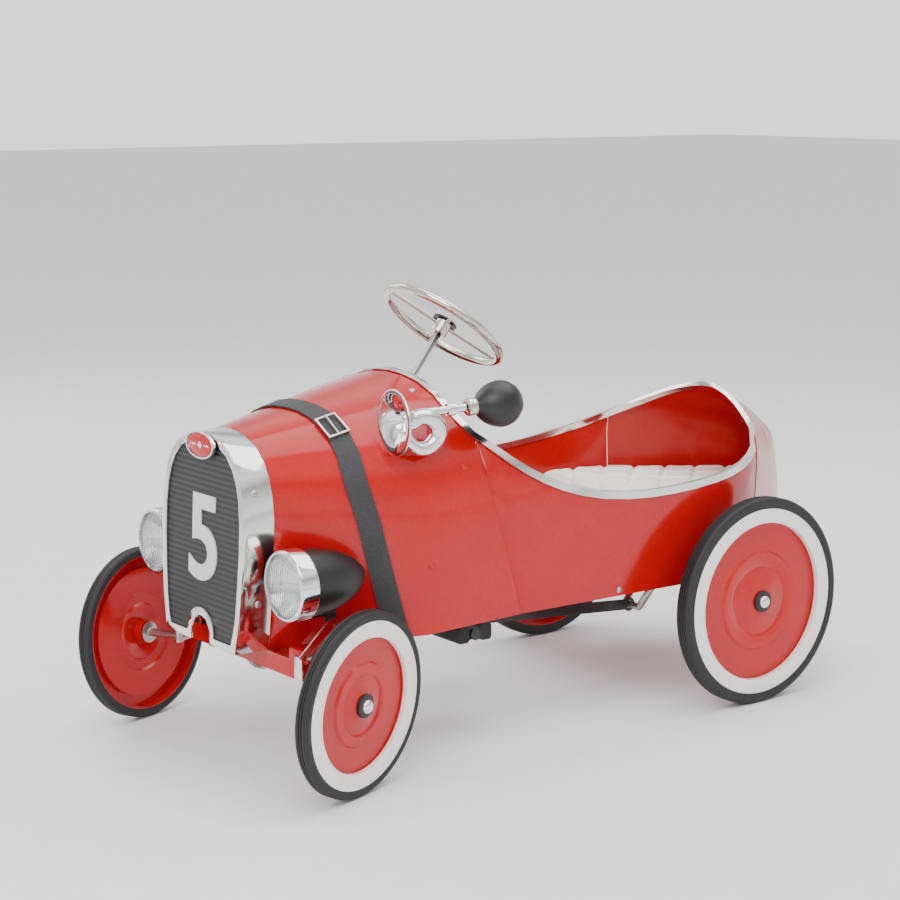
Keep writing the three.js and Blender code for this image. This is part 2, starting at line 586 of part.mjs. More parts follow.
const THROW = { web: 34, inner: 4, radius: 5 };
const throwAt = (x, side) => V(x, side * CRANK_RADIUS * Math.cos(CRANK_ANGLE),
  side * CRANK_RADIUS * Math.sin(CRANK_ANGLE));
const axleEnd = REAR_WHEEL.offset + REAR_WHEEL.width / 2 + HUB.capLength - 3 - PIN_GAP;
const crankPieces = [];
for (const side of [1, -1]) {
  const joint = new THREE.SphereGeometry(THROW.radius, 8, 4);
  crankPieces.push(
    bar(V(side * axleEnd, 0, 0), V(side * THROW.web, 0, 0), THROW.radius, 8),
    bar(V(side * THROW.web, 0, 0), throwAt(side * THROW.web, side), THROW.radius, 8),
    bar(throwAt(side * THROW.web, side), throwAt(side * THROW.inner, side), THROW.radius, 8),
    joint.clone().translate(side * THROW.web, 0, 0),
    joint.clone().translate(...throwAt(side * THROW.web, side).toArray()),
    joint.clone().translate(...throwAt(side * THROW.inner, side).toArray()));
}
crankPieces.push(bar(throwAt(-THROW.inner, -1), throwAt(THROW.inner, 1), THROW.radius, 8));
add('rear_crank_axle', join(...crankPieces), zinc, rearAxle);

// Plates under the rails that carry the axle.
const BEARING = { half: 18, thickness: 5, foot: 12.5 };
for (const [name, side] of [['rear_bearing_left', 1], ['rear_bearing_right', -1]]) {
  const top = RAIL.bottom - GAP;
  const eye = V(side * (RAIL.x - BEARING.thickness / 2), 0, REAR_WHEEL.radius);
  const far = eye.clone().setX(side * (RAIL.x + BEARING.thickness / 2));
  const body = join(bar(eye, far, BEARING.foot, 16),
    box(BEARING.thickness, 2 * BEARING.half, top - REAR_WHEEL.radius, side * RAIL.x, 0,
      (top + REAR_WHEEL.radius) / 2));
  const bore = bar(eye.clone().setX(side * 80), far.clone().setX(side * 120), THROW.radius + PIN_GAP, 12);
  add(name, cut(body, bore), blackSteel);
}

// ---------- front wheels and steering linkage ----------
const spindleZ = FRONT_WHEEL.radius * Math.cos(CAMBER) + (FRONT_WHEEL.width / 2 - 5) * Math.sin(CAMBER)
  + FRONT_WHEEL.offset * Math.sin(CAMBER);
const ARM = { thickness: 3, bottom: 111, width: 14 };
const TIE = { thickness: 3, width: 14, pin: 3.2 };
const tieZ = ARM.bottom + ARM.thickness + GAP;

for (const [place, side] of [['left', 1], ['right', -1]]) {
  const knuckle = new THREE.Group();
  knuckle.position.set(side * KINGPIN_X, FRONT_AXLE_Y, 0);
  knuckle.rotation.z = STEER_REST;
  car.add(knuckle);
  const spindle = new THREE.Group();
  spindle.position.z = spindleZ;
  spindle.rotation.y = side * CAMBER;
  knuckle.add(spindle);
  addWheel(`front_${place}`, FRONT_WHEEL, spindle, side);
  const tip = FRONT_WHEEL.offset + FRONT_WHEEL.width / 2 + HUB.capLength - 3 - PIN_GAP;
  const washer = FRONT_WHEEL.offset - FRONT_WHEEL.width / 2 - 2.6;
  const tilted = (geometry) => geometry.rotateY(side * CAMBER).translate(0, 0, spindleZ);
  const arm = join(
    bar(V(0, 0, KINGPIN.bottom), V(0, 0, KINGPIN.top), KINGPIN.radius, 12),
    tilted(bar(V(0, 0, 0), V(side * tip, 0, 0), KINGPIN.radius, 12)),
    tilted(bar(V(side * washer, 0, 0), V(side * (washer + 2), 0, 0), HUB.radius, 16)),
    box(ARM.width, STEERING_ARM, ARM.thickness, 0, STEERING_ARM / 2, ARM.bottom + ARM.thickness / 2),
    bar(V(0, STEERING_ARM, ARM.bottom), V(0, STEERING_ARM, ARM.bottom + ARM.thickness), ARM.width / 2, 12),
    bar(V(0, STEERING_ARM, ARM.bottom), V(0, STEERING_ARM, tieZ + TIE.thickness + 3), TIE.pin, 10));
  add(`stub_axle_${place}`, arm, zinc, knuckle);
}

const tiePinY = FRONT_AXLE_Y + STEERING_ARM * Math.cos(STEER_REST);
const tieShift = -STEERING_ARM * Math.sin(STEER_REST);
const tieEnd = (side) => V(tieShift + side * KINGPIN_X, tiePinY, tieZ);
const vertical = (point, radius, sides) =>
  bar(point.clone().setZ(tieZ), point.clone().setZ(tieZ + TIE.thickness), radius, sides);
const slot = box(6.8, 15, 20, tieShift, tiePinY, tieZ);
add('tie_rod', cut(
  join(box(2 * KINGPIN_X, TIE.width, TIE.thickness, tieShift, tiePinY, tieZ + TIE.thickness / 2),
    box(22, 24, TIE.thickness, tieShift, tiePinY, tieZ + TIE.thickness / 2),
    vertical(tieEnd(1), TIE.width / 2, 12), vertical(tieEnd(-1), TIE.width / 2, 12)),
  bar(tieEnd(1).setZ(tieZ - 1), tieEnd(1).setZ(tieZ + 9), TIE.pin + PIN_GAP, 12),
  bar(tieEnd(-1).setZ(tieZ - 1), tieEnd(-1).setZ(tieZ + 9), TIE.pin + PIN_GAP, 12), slot), zinc);

// ---------- steering wheel and column ----------
// Local frame: z up the column, y down and back across the wheel's face.
const steering = new THREE.Group();
steering.position.set(0, STEERING_WHEEL.y, STEERING_WHEEL.z);
steering.rotation.x = -COLUMN_TILT;
car.add(steering);
const COLUMN = { radius: 4.8, bottom: -445, pinRadius: 2.6, pinBottom: -479 };
const SPOKE = { radius: 2.6, turn: degToRad(17) };
const radial = (distance, angle, z) => V(distance * Math.sin(angle), distance * Math.cos(angle), z);
const wheelPieces = [
  new THREE.TorusGeometry(STEERING_WHEEL.radius, STEERING_WHEEL.tube, 6, 28),
  bar(V(0, 0, -14), V(0, 0, 5), 11, 16),
];
for (const quarter of [0.25, 0.75, 1.25, 1.75]) {
  const angle = quarter * Math.PI - SPOKE.turn;
  wheelPieces.push(bar(radial(6, angle, 0), radial(STEERING_WHEEL.radius, angle, 0), SPOKE.radius, 8));
}
const columnBore = bar(V(0, 0, -20), V(0, 0, 10), COLUMN.radius + 0.3, 12);
add('steering_wheel', cut(join(...wheelPieces), columnBore), polished, steering);
add('steering_hub_cap', turned([[0, 9.5], [12, 8.6], [17, 6.5], [17, 5.4], [0, 5.4]], 20).rotateY(-Math.PI / 2),
  blackPlastic, steering);

const pitman = (z) => radial(STEERING_ARM, -STEER_REST, z);
add('steering_column', join(
  bar(V(0, 0, COLUMN.bottom), V(0, 0, 5), COLUMN.radius, 12),
  new THREE.SphereGeometry(COLUMN.radius, 12, 6).translate(0, 0, COLUMN.bottom),
  bar(V(0, 0, COLUMN.bottom), pitman(COLUMN.bottom), COLUMN.radius, 12),
  new THREE.SphereGeometry(COLUMN.radius, 12, 6).translate(...pitman(COLUMN.bottom).toArray()),
  bar(pitman(COLUMN.bottom), pitman(COLUMN.pinBottom), COLUMN.pinRadius, 10)), zinc, steering);

const BRACKET = { lower: -432.4, upper: -154 };
const lowerBracket = cut(box(200, 16, 3, 0, 0, BRACKET.lower),
  bar(V(0, 0, BRACKET.lower - 4), V(0, 0, BRACKET.lower + 4), COLUMN.radius + PIN_GAP, 12));
add('steering_bracket', lowerBracket, zinc, steering);

const dashTop = new THREE.Shape([[-26, 378], [26, 378], [26, 455.4], [14, 456.2], [-14, 456.2], [-26, 455.4]]
  .map((p) => new THREE.Vector2(...p)));
const dashHole = put(bar(V(0, 0, BRACKET.upper - 20), V(0, 0, BRACKET.upper + 20), COLUMN.radius + PIN_GAP, 12),
  0, STEERING_WHEEL.y, STEERING_WHEEL.z, -COLUMN_TILT);
add('dash_bracket', cut(plate(dashTop, -456, 2), dashHole), blackSteel);

// ---------- pedals and push rods ----------
const PEDAL = { armX: 20, armThickness: 4, armWidth: 16, padInner: 26, padOuter: 84.6, padLength: 54 };
const PIVOT_ROD = { radius: 4, half: 178 };
add('pedal_pivot_rod', bar(V(-PIVOT_ROD.half, PEDAL_PIVOT.y, PEDAL_PIVOT.z),
  V(PIVOT_ROD.half, PEDAL_PIVOT.y, PEDAL_PIVOT.z), PIVOT_ROD.radius, 12), zinc);

// Cross-section of the rubber block: thicker at both ends than round its bolt.
const padSection = [[-27, -8], [-24, -11], [-12, -11], [-8, -7], [8, -7], [12, -11], [24, -11], [27, -8],
  [27, 8], [24, 11], [12, 11], [8, 7], [-8, 7], [-12, 11], [-24, 11], [-27, 8]];

const pushRodPins = [];
for (const [index, place, side] of [[0, 'left', 1], [1, 'right', -1]]) {
  const pedal = new THREE.Group();
  pedal.position.set(0, PEDAL_PIVOT.y, PEDAL_PIVOT.z);
  pedal.rotation.x = PEDAL_ANGLE[index];
  car.add(pedal);
  const inner = side * (PEDAL.armX - PEDAL.armThickness / 2);
  const outer = side * (PEDAL.armX + PEDAL.armThickness / 2);
  const low = -PEDAL_REACH;
  const armSolid = cut(join(
    box(PEDAL.armThickness, PEDAL.armWidth, PEDAL_REACH, side * PEDAL.armX, 0, low / 2),
    bar(V(side * 15.5, 0, 0), V(side * 30, 0, 0), 10, 16),
    bar(V(inner, 0, low), V(outer, 0, low), PEDAL.armWidth / 2, 12),
    bar(V(side * 16.2, 0, low), V(side * (PEDAL.padOuter + 2.6), 0, low), 4, 12),
    bar(V(side * (PEDAL.padOuter + 0.4), 0, low), V(side * (PEDAL.padOuter + 2.6), 0, low), 8.5, 16)),
  bar(V(side * 10, 0, 0), V(side * 40, 0, 0), PIVOT_ROD.radius + PIN_GAP, 12));
  add(`pedal_arm_${place}`, armSolid, blackSteel, pedal);
  const section = new THREE.Shape(padSection.map((p) => new THREE.Vector2(...p)));
  section.holes.push(new THREE.Path().absarc(0, 0, 4 + PIN_GAP, 0, 2 * Math.PI));
  const depth = PEDAL.padOuter - PEDAL.padInner;
  const pad = new THREE.ExtrudeGeometry(section, { depth, bevelEnabled: false, curveSegments: 6 })
    .applyMatrix4(new THREE.Matrix4().makeBasis(V(0, 1, 0), V(0, 0, 1), V(1, 0, 0)))
    .translate(side > 0 ? PEDAL.padInner : -PEDAL.padOuter, 0, low)
    .translate(0, 0, -low).rotateX(-PEDAL_ANGLE[index]).translate(0, 0, low);
  add(`pedal_pad_${place}`, pad, rubber, pedal);
  pushRodPins.push({
    place,
    side,
    front: V(0, PEDAL_PIVOT.y + PEDAL_REACH * Math.sin(PEDAL_ANGLE[index]),
      PEDAL_PIVOT.z - PEDAL_REACH * Math.cos(PEDAL_ANGLE[index])),
    rear: throwAt(0, side).add(V(0, 0, REAR_WHEEL.radius)),
  });
}

// Flat bars with an eye at each end. The rear eye turns on the crank pin.
const PUSH_ROD = { x: 13, thickness: 3, width: 15, frontBore: 4.6 };
for (const { place, side, front, rear } of pushRodPins) {
  const at = (point, x) => point.clone().setX(side * x);
  const [near, far] = [PUSH_ROD.x - PUSH_ROD.thickness / 2, PUSH_ROD.x + PUSH_ROD.thickness / 2];
  const disc = (point, radius, grow, sides) => bar(at(point, near - grow), at(point, far + grow), radius, sides);
  const span = rear.clone().sub(front);
  const strip = box(PUSH_ROD.thickness, span.length(), PUSH_ROD.width, 0, 0, 0)
    .rotateX(Math.atan2(span.z, span.y))
    .translate(...at(front.clone().add(rear).multiplyScalar(0.5), PUSH_ROD.x).toArray());
  const solid = cut(join(strip, disc(front, 9, 0, 14), disc(rear, 10, 0, 14)),
    disc(front, PUSH_ROD.frontBore, 2, 12), disc(rear, THROW.radius + PIN_GAP, 2, 12));
  add(`push_rod_${place}`, solid, blackSteel);
}

// ---------- headlamps ----------
const LUG = { x: 153.4, thickness: 2.4, eye: 7.5 };
const LEG = { x: 156.6, thickness: 2.6, width: 14 };
// Profiles are [radius, distance in front of the lens].
const shellProfile = [[0, -110], [13, -106], [24, -94], [33.5, -74], [39, -48], [40.5, -22],
  [38.5, -22], [37, -48], [31.6, -73], [22.4, -92.2], [11.6, -103.8], [0, -107.6]];
const bezelProfile = [[39.2, 1.5], [41.6, 1.5], [42.8, -1], [42.8, -20], [41.4, -23.5], [41, -23.5],
  [41, -2], [39.2, -2], [39.2, 1.5]];
const lensProfile = [[0, 4], [20, 2.6], [38.6, -1.6], [38.6, -4.6], [20, -0.4], [0, 1]];
for (const [place, side] of [['left', 1], ['right', -1]]) {
  const face = (profile, segments = 18) =>
    turned(profile, segments).rotateZ(-Math.PI / 2).translate(side * LAMP.x, LAMP.y, LAMP.z);
  const lugX = side * LUG.x;
  const lug = [
    box(LUG.thickness, 34, 6, lugX, LAMP_PIVOT.y - 9, LAMP.z - 40),
    box(LUG.thickness, 2 * LUG.eye, 20, lugX, LAMP_PIVOT.y, LAMP_PIVOT.z + 6),
    bar(V(lugX - LUG.thickness / 2, LAMP_PIVOT.y, LAMP_PIVOT.z),
      V(lugX + LUG.thickness / 2, LAMP_PIVOT.y, LAMP_PIVOT.z), LUG.eye, 14),
  ];
  add(`headlamp_shell_${place}`, join(face(shellProfile), ...lug), blackPlastic);
  add(`headlamp_bezel_${place}`, face(bezelProfile), polished);
  add(`headlamp_lens_${place}`, face(lensProfile), clearGlass);
  const footY = BEAM.front - GAP - LEG.thickness / 2;
  const foot = box(16, LEG.thickness, 29, side * BEAM.half, footY, 146.5);
  const legX = side * LEG.x;
  const legStart = V(legX, footY, 156);
  const legEnd = V(legX, LAMP_PIVOT.y, LAMP_PIVOT.z);
  const legSpan = legEnd.clone().sub(legStart);
  const leg = box(LEG.thickness, legSpan.length(), LEG.width, 0, 0, 0).rotateX(Math.atan2(legSpan.z, legSpan.y))
    .translate(...legStart.clone().add(legEnd).multiplyScalar(0.5).toArray());
  const eye = bar(legEnd.clone().setX(legX - LEG.thickness / 2), legEnd.clone().setX(legX + LEG.thickness / 2),
    LUG.eye, 14);
  add(`headlamp_bracket_${place}`, join(foot, leg, eye), polished);
}

// ---------- points on the body's surface ----------
function surface(y, z) {
  const step = 0.5;
  const slopeY = (sideX(y + step, z) - sideX(y - step, z)) / (2 * step);
  const slopeZ = (sideX(y, z + step) - sideX(y, z - step)) / (2 * step);
  return { point: V(sideX(y, z), y, z), normal: V(1, -slopeY, -slopeZ).normalize() };
}

// ---------- horn ----------
// Local frame at the mouth of the bell: x outboard, y back along the bell, z up.
const horn = new THREE.Group();
horn.position.set(164, -554, 427);
horn.rotation.z = -THREE.MathUtils.degToRad(7);
car.add(horn);
const bell = turned([[0, 30], [9, 29], [10.5, 24], [15.5, 14], [25.5, 6], [36.5, 1.4], [40.5, 0.4], [40.5, -0.8],
  [38.6, -1], [25.5, 3.2], [14.6, 11], [9.4, 19], [8.4, 22], [0, 22]], 18).rotateZ(Math.PI / 2);
const coil = rod([V(0, 26, 0), V(0, 38, 4), V(0, 53, -1), V(0, 61, -15), V(-1, 54, -29), V(-2, 40, -35),
  V(-4, 27, -29), V(-9, 21, -15), V(-14, 28, 0), V(-15, 42, 6), V(-13, 56, 7), V(-9, 72, 8), V(-5, 101, 10)],
[9.5, 9.5, 10.5, 10.5, 10, 9, 8, 7, 6, 5.4, 5, 4.8, 4.8], 26, 8);
add('horn_trumpet', join(bell, coil), polished, horn);
const spout = V(-5, 101, 10);
const bulbAxis = V(0, 1, 0.02).normalize();
const pear = turned([[0, 78], [9, 76.4], [20, 70.5], [27.6, 58], [28.6, 47], [26, 34], [18, 23], [11, 16.4],
  [9.3, 14.6], [9.3, 8], [0, 8]], 18);
const onSpout = (geometry) => geometry.rotateZ(Math.PI / 2)
  .applyQuaternion(new THREE.Quaternion().setFromUnitVectors(V(0, 1, 0), bulbAxis))
  .translate(...spout.toArray());
add('horn_ferrule', onSpout(turned([[0, 1.2], [8, 1.2], [10.8, 2.8], [10.8, 14], [9.8, 14], [9.8, 7], [0, 7]], 16)),
  polished, horn);
add('horn_bulb', onSpout(pear), rubber, horn);

// The bracket clamps the horn's stem and stands on the cowl.
const clampAt = V(-7.6, 82, 8.7);
const toCar = (point) => point.clone().applyAxisAngle(V(0, 0, 1), horn.rotation.z).add(horn.position);
const clampCar = toCar(clampAt);
const HORN_FOOT_Z = 420;
const hornFoot = surface(clampCar.y, HORN_FOOT_Z);
const footBase = hornFoot.point.clone().addScaledVector(hornFoot.normal, GAP);
const footTop = hornFoot.point.clone().addScaledVector(hornFoot.normal, GAP + 3);
const stemAxis = toCar(V(-5, 101, 10)).sub(toCar(V(-9, 72, 8))).normalize();
const ringAt = (reach) => clampCar.clone().addScaledVector(stemAxis, reach);
const armStart = clampCar.clone().sub(footTop).normalize();
add('horn_bracket', cut(
  join(bar(footBase, footTop, 9, 14), bar(footTop, clampCar.clone().addScaledVector(armStart, -7), 3.4, 10),
    bar(ringAt(-5), ringAt(5), 8, 14)),
  bar(ringAt(-9), ringAt(9), 5.2, 12)), polished);

// ---------- hood strap ----------
const STRAP = { half: 13, y: -587, slope: 0.235, thickness: 2, offset: 2.8, end: 0.35 };
const strapY = (z) => STRAP.y + STRAP.slope * Math.max(0, 350 - z);
const strapSteps = [STRAP.end, ...hoodSteps.slice(1, -1), 2 * HALF_STEPS - STRAP.end];
const strapGrid = [-STRAP.half, 0, STRAP.half].map((across) => strapSteps.map((step) => {
  const { z } = hoodPoint(step, STRAP.y);
  return hoodPoint(step, strapY(z) + across);
}));
add('hood_strap', sheet(strapGrid, INSIDE, STRAP.thickness, () => -STRAP.offset), leather);

const BUCKLE = { z: 413.6, across: 29, along: 38, bar: 2.8, lift: 3.2, thickness: 2.6 };
const buckleSeat = surface(STRAP.y, BUCKLE.z);
const across = V(0, 1, 0).addScaledVector(buckleSeat.normal, -buckleSeat.normal.y).normalize();
const alongStrap = across.clone().cross(buckleSeat.normal).normalize();
const buckle = cut(box(BUCKLE.along, BUCKLE.across, BUCKLE.thickness, 0, 0, 0),
  box(BUCKLE.along - 2 * BUCKLE.bar, BUCKLE.across - 2 * BUCKLE.bar, 3 * BUCKLE.thickness, 0, 0, 0))
  .translate(0, 0, BUCKLE.lift + BUCKLE.thickness / 2)
  .applyMatrix4(new THREE.Matrix4().makeBasis(alongStrap, across, buckleSeat.normal))
  .translate(...buckleSeat.point.toArray());
add('strap_buckle', buckle, zinc);

export default object;
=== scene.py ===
"""A child's sheet-metal pedal car in an old racing style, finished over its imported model.

Metres, +Z up. The car faces -Y and its left side is +X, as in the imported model. Every piece is placed
from the boxes and joints of that model.
"""

import json
import logging
import math
from dataclasses import dataclass
from enum import Enum

import bpy
from mathutils import Matrix, Vector


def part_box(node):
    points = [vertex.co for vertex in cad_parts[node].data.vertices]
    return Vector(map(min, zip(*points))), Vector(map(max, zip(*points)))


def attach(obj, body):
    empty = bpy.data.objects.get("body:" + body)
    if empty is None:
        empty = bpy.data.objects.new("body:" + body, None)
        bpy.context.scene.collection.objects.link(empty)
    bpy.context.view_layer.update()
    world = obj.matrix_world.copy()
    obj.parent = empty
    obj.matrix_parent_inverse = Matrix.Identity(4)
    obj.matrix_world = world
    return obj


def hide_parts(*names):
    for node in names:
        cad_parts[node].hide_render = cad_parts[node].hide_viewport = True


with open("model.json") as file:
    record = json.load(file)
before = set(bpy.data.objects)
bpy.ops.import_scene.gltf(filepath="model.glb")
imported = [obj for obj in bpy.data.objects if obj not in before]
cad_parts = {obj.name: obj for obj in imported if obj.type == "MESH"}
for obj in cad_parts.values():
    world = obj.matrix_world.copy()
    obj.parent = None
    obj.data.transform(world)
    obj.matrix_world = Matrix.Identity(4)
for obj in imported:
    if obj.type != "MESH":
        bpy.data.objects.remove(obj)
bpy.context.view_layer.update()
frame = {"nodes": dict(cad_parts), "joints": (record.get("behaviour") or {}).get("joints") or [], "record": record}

LOG = logging.getLogger("pedal_car")
BODIES: dict[str, list[str]] = frame["record"]["behaviour"]["bodies"]
BODY_OF: dict[str, str] = {node: body for body, nodes in BODIES.items() for node in nodes}
SLOT_OF: dict[str, str] = {row["node"]: row["material_slot"] for row in frame["record"]["subparts"]}
JOINTS: dict[str, dict] = {joint["child"]: joint for joint in frame["joints"]}
Point = tuple[float, float]
MM = 0.001

# The slow change of tone over a panel, per metre, and how strongly a fine texture tilts the light.
DRIFT_PER_METRE = 14.0
RELIEF_STRENGTH = 0.6
COAT_ROUGHNESS = 0.04
# Brushed metal is drawn out along Z by this share.
BRUSH_STRETCH = (1.0, 1.0, 0.06)
# Blender's wave texture runs through this many radians per metre at a scale of 1.
WAVE_RADIANS = 20
# Points of a spun piece that are closer than this are one point.
WELD = 2e-6
NODE_WELD = 1e-5


# ---------- finishes ----------
class Texture(Enum):
    """The kinds of fine surface that the finishes have."""

    CLOUD = "cloud"
    GRAIN = "grain"
    BRUSH = "brush"
    RIBS = "ribs"


def linear(code: str) -> tuple[float, float, float, float]:
    """Turns an sRGB hex colour into linear light.

    Args:
        code: Six hex digits.

    Returns:
        Red, green and blue as linear numbers, and an alpha of 1.
    """
    values = [int(code[k:k + 2], 16) / 255 for k in (0, 2, 4)]
    red, green, blue = (v / 12.92 if v <= 0.04045 else ((v + 0.055) / 1.055) ** 2.4 for v in values)
    return red, green, blue, 1.0


def add_node(tree: bpy.types.NodeTree, kind: str, settings: dict, links: dict) -> bpy.types.Node:
    """Adds a shader node with its settings and links.

    Args:
        tree: The tree that gets the node.
        kind: The node's type name.
        settings: Values by the name of a property or of an input socket.
        links: Output sockets of other nodes, by the name of this node's input socket.

    Returns:
        The new node.
    """
    made = tree.nodes.new(kind)
    for name, value in settings.items():
        if hasattr(made, name):
            setattr(made, name, value)
        else:
            made.inputs[name].default_value = value
    for name, source in links.items():
        tree.links.new(source, made.inputs[name])
    return made


@dataclass(frozen=True)
class Finish:
    """A surface as it was made: its two close colours, its gloss, and a fine texture of a real size."""

    name: str
    light: str
    dark: str
    metallic: float
    smooth: float
    rough: float
    texture: Texture
    cell_mm: float
    relief_mm: float
    coat: float = 0.0
    ior: float = 1.5
    clear: float = 0.0

    def build(self) -> bpy.types.Material:
        """Makes the material once, and gives the same one to every piece that wants it.

        Returns:
            The material.
        """
        if self.name in bpy.data.materials:
            return bpy.data.materials[self.name]
        material = bpy.data.materials.new(self.name)
        material.use_nodes = True
        tree = material.node_tree
        shader = tree.nodes["Principled BSDF"]
        place = add_node(tree, "ShaderNodeTexCoord", {}, {})
        stretch = BRUSH_STRETCH if self.texture is Texture.BRUSH else (1.0, 1.0, 1.0)
        mapping = add_node(tree, "ShaderNodeMapping", {"Scale": stretch}, {"Vector": place.outputs["Object"]})
        pattern = self.pattern(tree, mapping.outputs["Vector"])
        drift = add_node(tree, "ShaderNodeTexNoise", {"Scale": DRIFT_PER_METRE, "Detail": 3.0},
                         {"Vector": place.outputs["Object"]})
        blend = add_node(tree, "ShaderNodeMath", {"operation": "MULTIPLY"}, {})
        tree.links.new(pattern, blend.inputs[0])
        tree.links.new(drift.outputs["Fac"], blend.inputs[1])
        colour = add_node(tree, "ShaderNodeValToRGB", {}, {"Fac": blend.outputs["Value"]})
        colour.color_ramp.elements[0].color = linear(self.dark)
        colour.color_ramp.elements[1].color = linear(self.light)
        colour.color_ramp.elements[1].position = 0.5
        gloss = add_node(tree, "ShaderNodeMapRange", {"To Min": self.smooth, "To Max": self.rough},
                         {"Value": drift.outputs["Fac"]})
        bump = add_node(tree, "ShaderNodeBump",
                        {"Distance": self.relief_mm * MM, "Strength": RELIEF_STRENGTH}, {"Height": pattern})
        tree.links.new(colour.outputs["Color"], shader.inputs["Base Color"])
        tree.links.new(gloss.outputs["Result"], shader.inputs["Roughness"])
        tree.links.new(bump.outputs["Normal"], shader.inputs["Normal"])
        shader.inputs["Metallic"].default_value = self.metallic
        shader.inputs["IOR"].default_value = self.ior
        shader.inputs["Coat Weight"].default_value = self.coat
        shader.inputs["Coat Roughness"].default_value = COAT_ROUGHNESS
        shader.inputs["Transmission Weight"].default_value = self.clear
        return material

    def pattern(self, tree: bpy.types.NodeTree, place: bpy.types.NodeSocket) -> bpy.types.NodeSocket:
        """Adds the fine texture.

        Args:
            tree: The material's tree.
            place: The socket with the place on the object.

        Returns:
            The socket with the texture's height.
        """
        scale = 1 / (self.cell_mm * MM)
        if self.texture is Texture.GRAIN:
            cells = add_node(tree, "ShaderNodeTexVoronoi", {"Scale": scale}, {"Vector": place})
            return cells.outputs["Distance"]
        if self.texture is Texture.RIBS:
            settings = {"bands_direction": "Z", "Scale": scale / WAVE_RADIANS * math.pi}
            ribs = add_node(tree, "ShaderNodeTexWave", settings, {"Vector": place})
            return ribs.outputs["Fac"]
        noise = add_node(tree, "ShaderNodeTexNoise", {"Scale": scale, "Detail": 2.0}, {"Vector": place})
        return noise.outputs["Fac"]


# Stove enamel, sprayed and baked: deep colour under a wet gloss, with a faint orange peel.
RED_ENAMEL = Finish("red_stove_enamel", "C40408", "AE0206", 0.0, 0.14, 0.22, Texture.CLOUD, 5.0, 0.012,
                    coat=0.2, ior=1.42)
WHITE_ENAMEL = Finish("white_stove_enamel", "F7F6F2", "EDECE6", 0.0, 0.12, 0.20, Texture.CLOUD, 5.0, 0.012,
                      coat=0.6)
# Brushed-on chassis paint: a plain satin black.
BLACK_PAINT = Finish("black_chassis_paint", "1C1C1E", "101012", 0.0, 0.30, 0.45, Texture.CLOUD, 3.0, 0.03,
                     coat=0.2)
# Rolled and polished aluminium: a soft mirror with fine lines of the polishing mop.
POLISHED = Finish("polished_aluminium", "EDEDEA", "DADAD6", 1.0, 0.08, 0.17, Texture.BRUSH, 1.2, 0.006)
# Bright chrome and warmer nickel plating over buffed brass or steel.
CHROME = Finish("chrome_plating", "F2F3F4", "E2E3E5", 1.0, 0.03, 0.08, Texture.CLOUD, 9.0, 0.006)
NICKEL = Finish("nickel_plating", "DED7CC", "C9C1B5", 1.0, 0.07, 0.15, Texture.CLOUD, 6.0, 0.008)
# Bright zinc plating on steel: pale, a little milky, with the grain of the drawn bar.
ZINC = Finish("zinc_plating", "C6C5C0", "A9A8A3", 1.0, 0.25, 0.38, Texture.BRUSH, 1.5, 0.02)
# Solid moulded rubber, with bloom that dulls it unevenly.
RUBBER = Finish("moulded_rubber", "242426", "161617", 0.0, 0.55, 0.72, Texture.CLOUD, 1.6, 0.05)
# A blown rubber bulb and moulded plastic: black, with a satin sheen.
SATIN_RUBBER = Finish("satin_bulb_rubber", "1E1E20", "131314", 0.0, 0.32, 0.45, Texture.CLOUD, 2.2, 0.03)
BLACK_PLASTIC = Finish("satin_black_plastic", "1D1D1F", "121213", 0.0, 0.35, 0.48, Texture.CLOUD, 1.2, 0.02)
# Grained strap leather and soft upholstery leathercloth, with their pebbles.
STRAP_LEATHER = Finish("grained_strap_leather", "38383A", "222224", 0.0, 0.50, 0.66, Texture.GRAIN, 1.6, 0.16)
CREAM_CLOTH = Finish("cream_leathercloth", "F6F1E8", "E6DFD2", 0.0, 0.42, 0.56, Texture.GRAIN, 1.4, 0.06)
# Black woven wire mesh, drawn as fine ribs that show from a few metres: the lighter bands are the wires' own
# black, and the near-black bands are painted shade in the gaps between the wires.
MESH = Finish("black_wire_mesh", "2C2C2F", "0C0C0D", 0.0, 0.40, 0.55, Texture.RIBS, 3.4, 0.5)
# Flat paint laid through a stencil, a little grey.
NUMBER_PAINT = Finish("grey_white_stencil_paint", "E2E3E2", "CFD0CF", 0.0, 0.40, 0.55, Texture.CLOUD, 2.0,
                      0.03)
# Pressed clear glass: nearly all light goes through it.
GLASS = Finish("fluted_lamp_glass", "FBFCFC", "F2F5F6", 0.0, 0.02, 0.05, Texture.CLOUD, 12.0, 0.01, clear=0.9)
# Matt white paper, for the floor.
WHITE_PAPER = Finish("white_paper", "F4F4F3", "EFEFEE", 0.0, 0.7, 0.8, Texture.CLOUD, 40.0, 0.01)

FINISHES: dict[str, Finish] = {
    "body_enamel": RED_ENAMEL, "wheel_enamel": RED_ENAMEL, "edge_trim": POLISHED, "grille_shell": POLISHED,
    "grille_mesh": MESH, "badge_rim": CHROME, "badge_face": RED_ENAMEL, "cushion_cover": CREAM_CLOTH,
    "chassis_black": BLACK_PAINT, "zinc_plate": ZINC, "linkage_black": BLACK_PAINT, "pedal_rubber": RUBBER,
    "tyre": RUBBER, "hub_chrome": CHROME, "lamp_black": BLACK_PLASTIC, "lamp_chrome": CHROME,
    "lamp_lens": GLASS, "lamp_bracket": POLISHED, "horn_chrome": CHROME, "horn_nickel": NICKEL,
    "horn_rubber": SATIN_RUBBER, "strap_leather": STRAP_LEATHER, "buckle_nickel": NICKEL,
    "steering_nickel": NICKEL, "column_steel": ZINC, "hub_plastic": BLACK_PLASTIC,
}


# ---------- the workbench ----------
def pick_only(piece: bpy.types.Object) -> None:
    """Makes one object the only selected one and the active one.

    Args:
        piece: The object.
    """
    bpy.ops.object.select_all(action="DESELECT")
    piece.select_set(True)
    bpy.context.view_layer.objects.active = piece


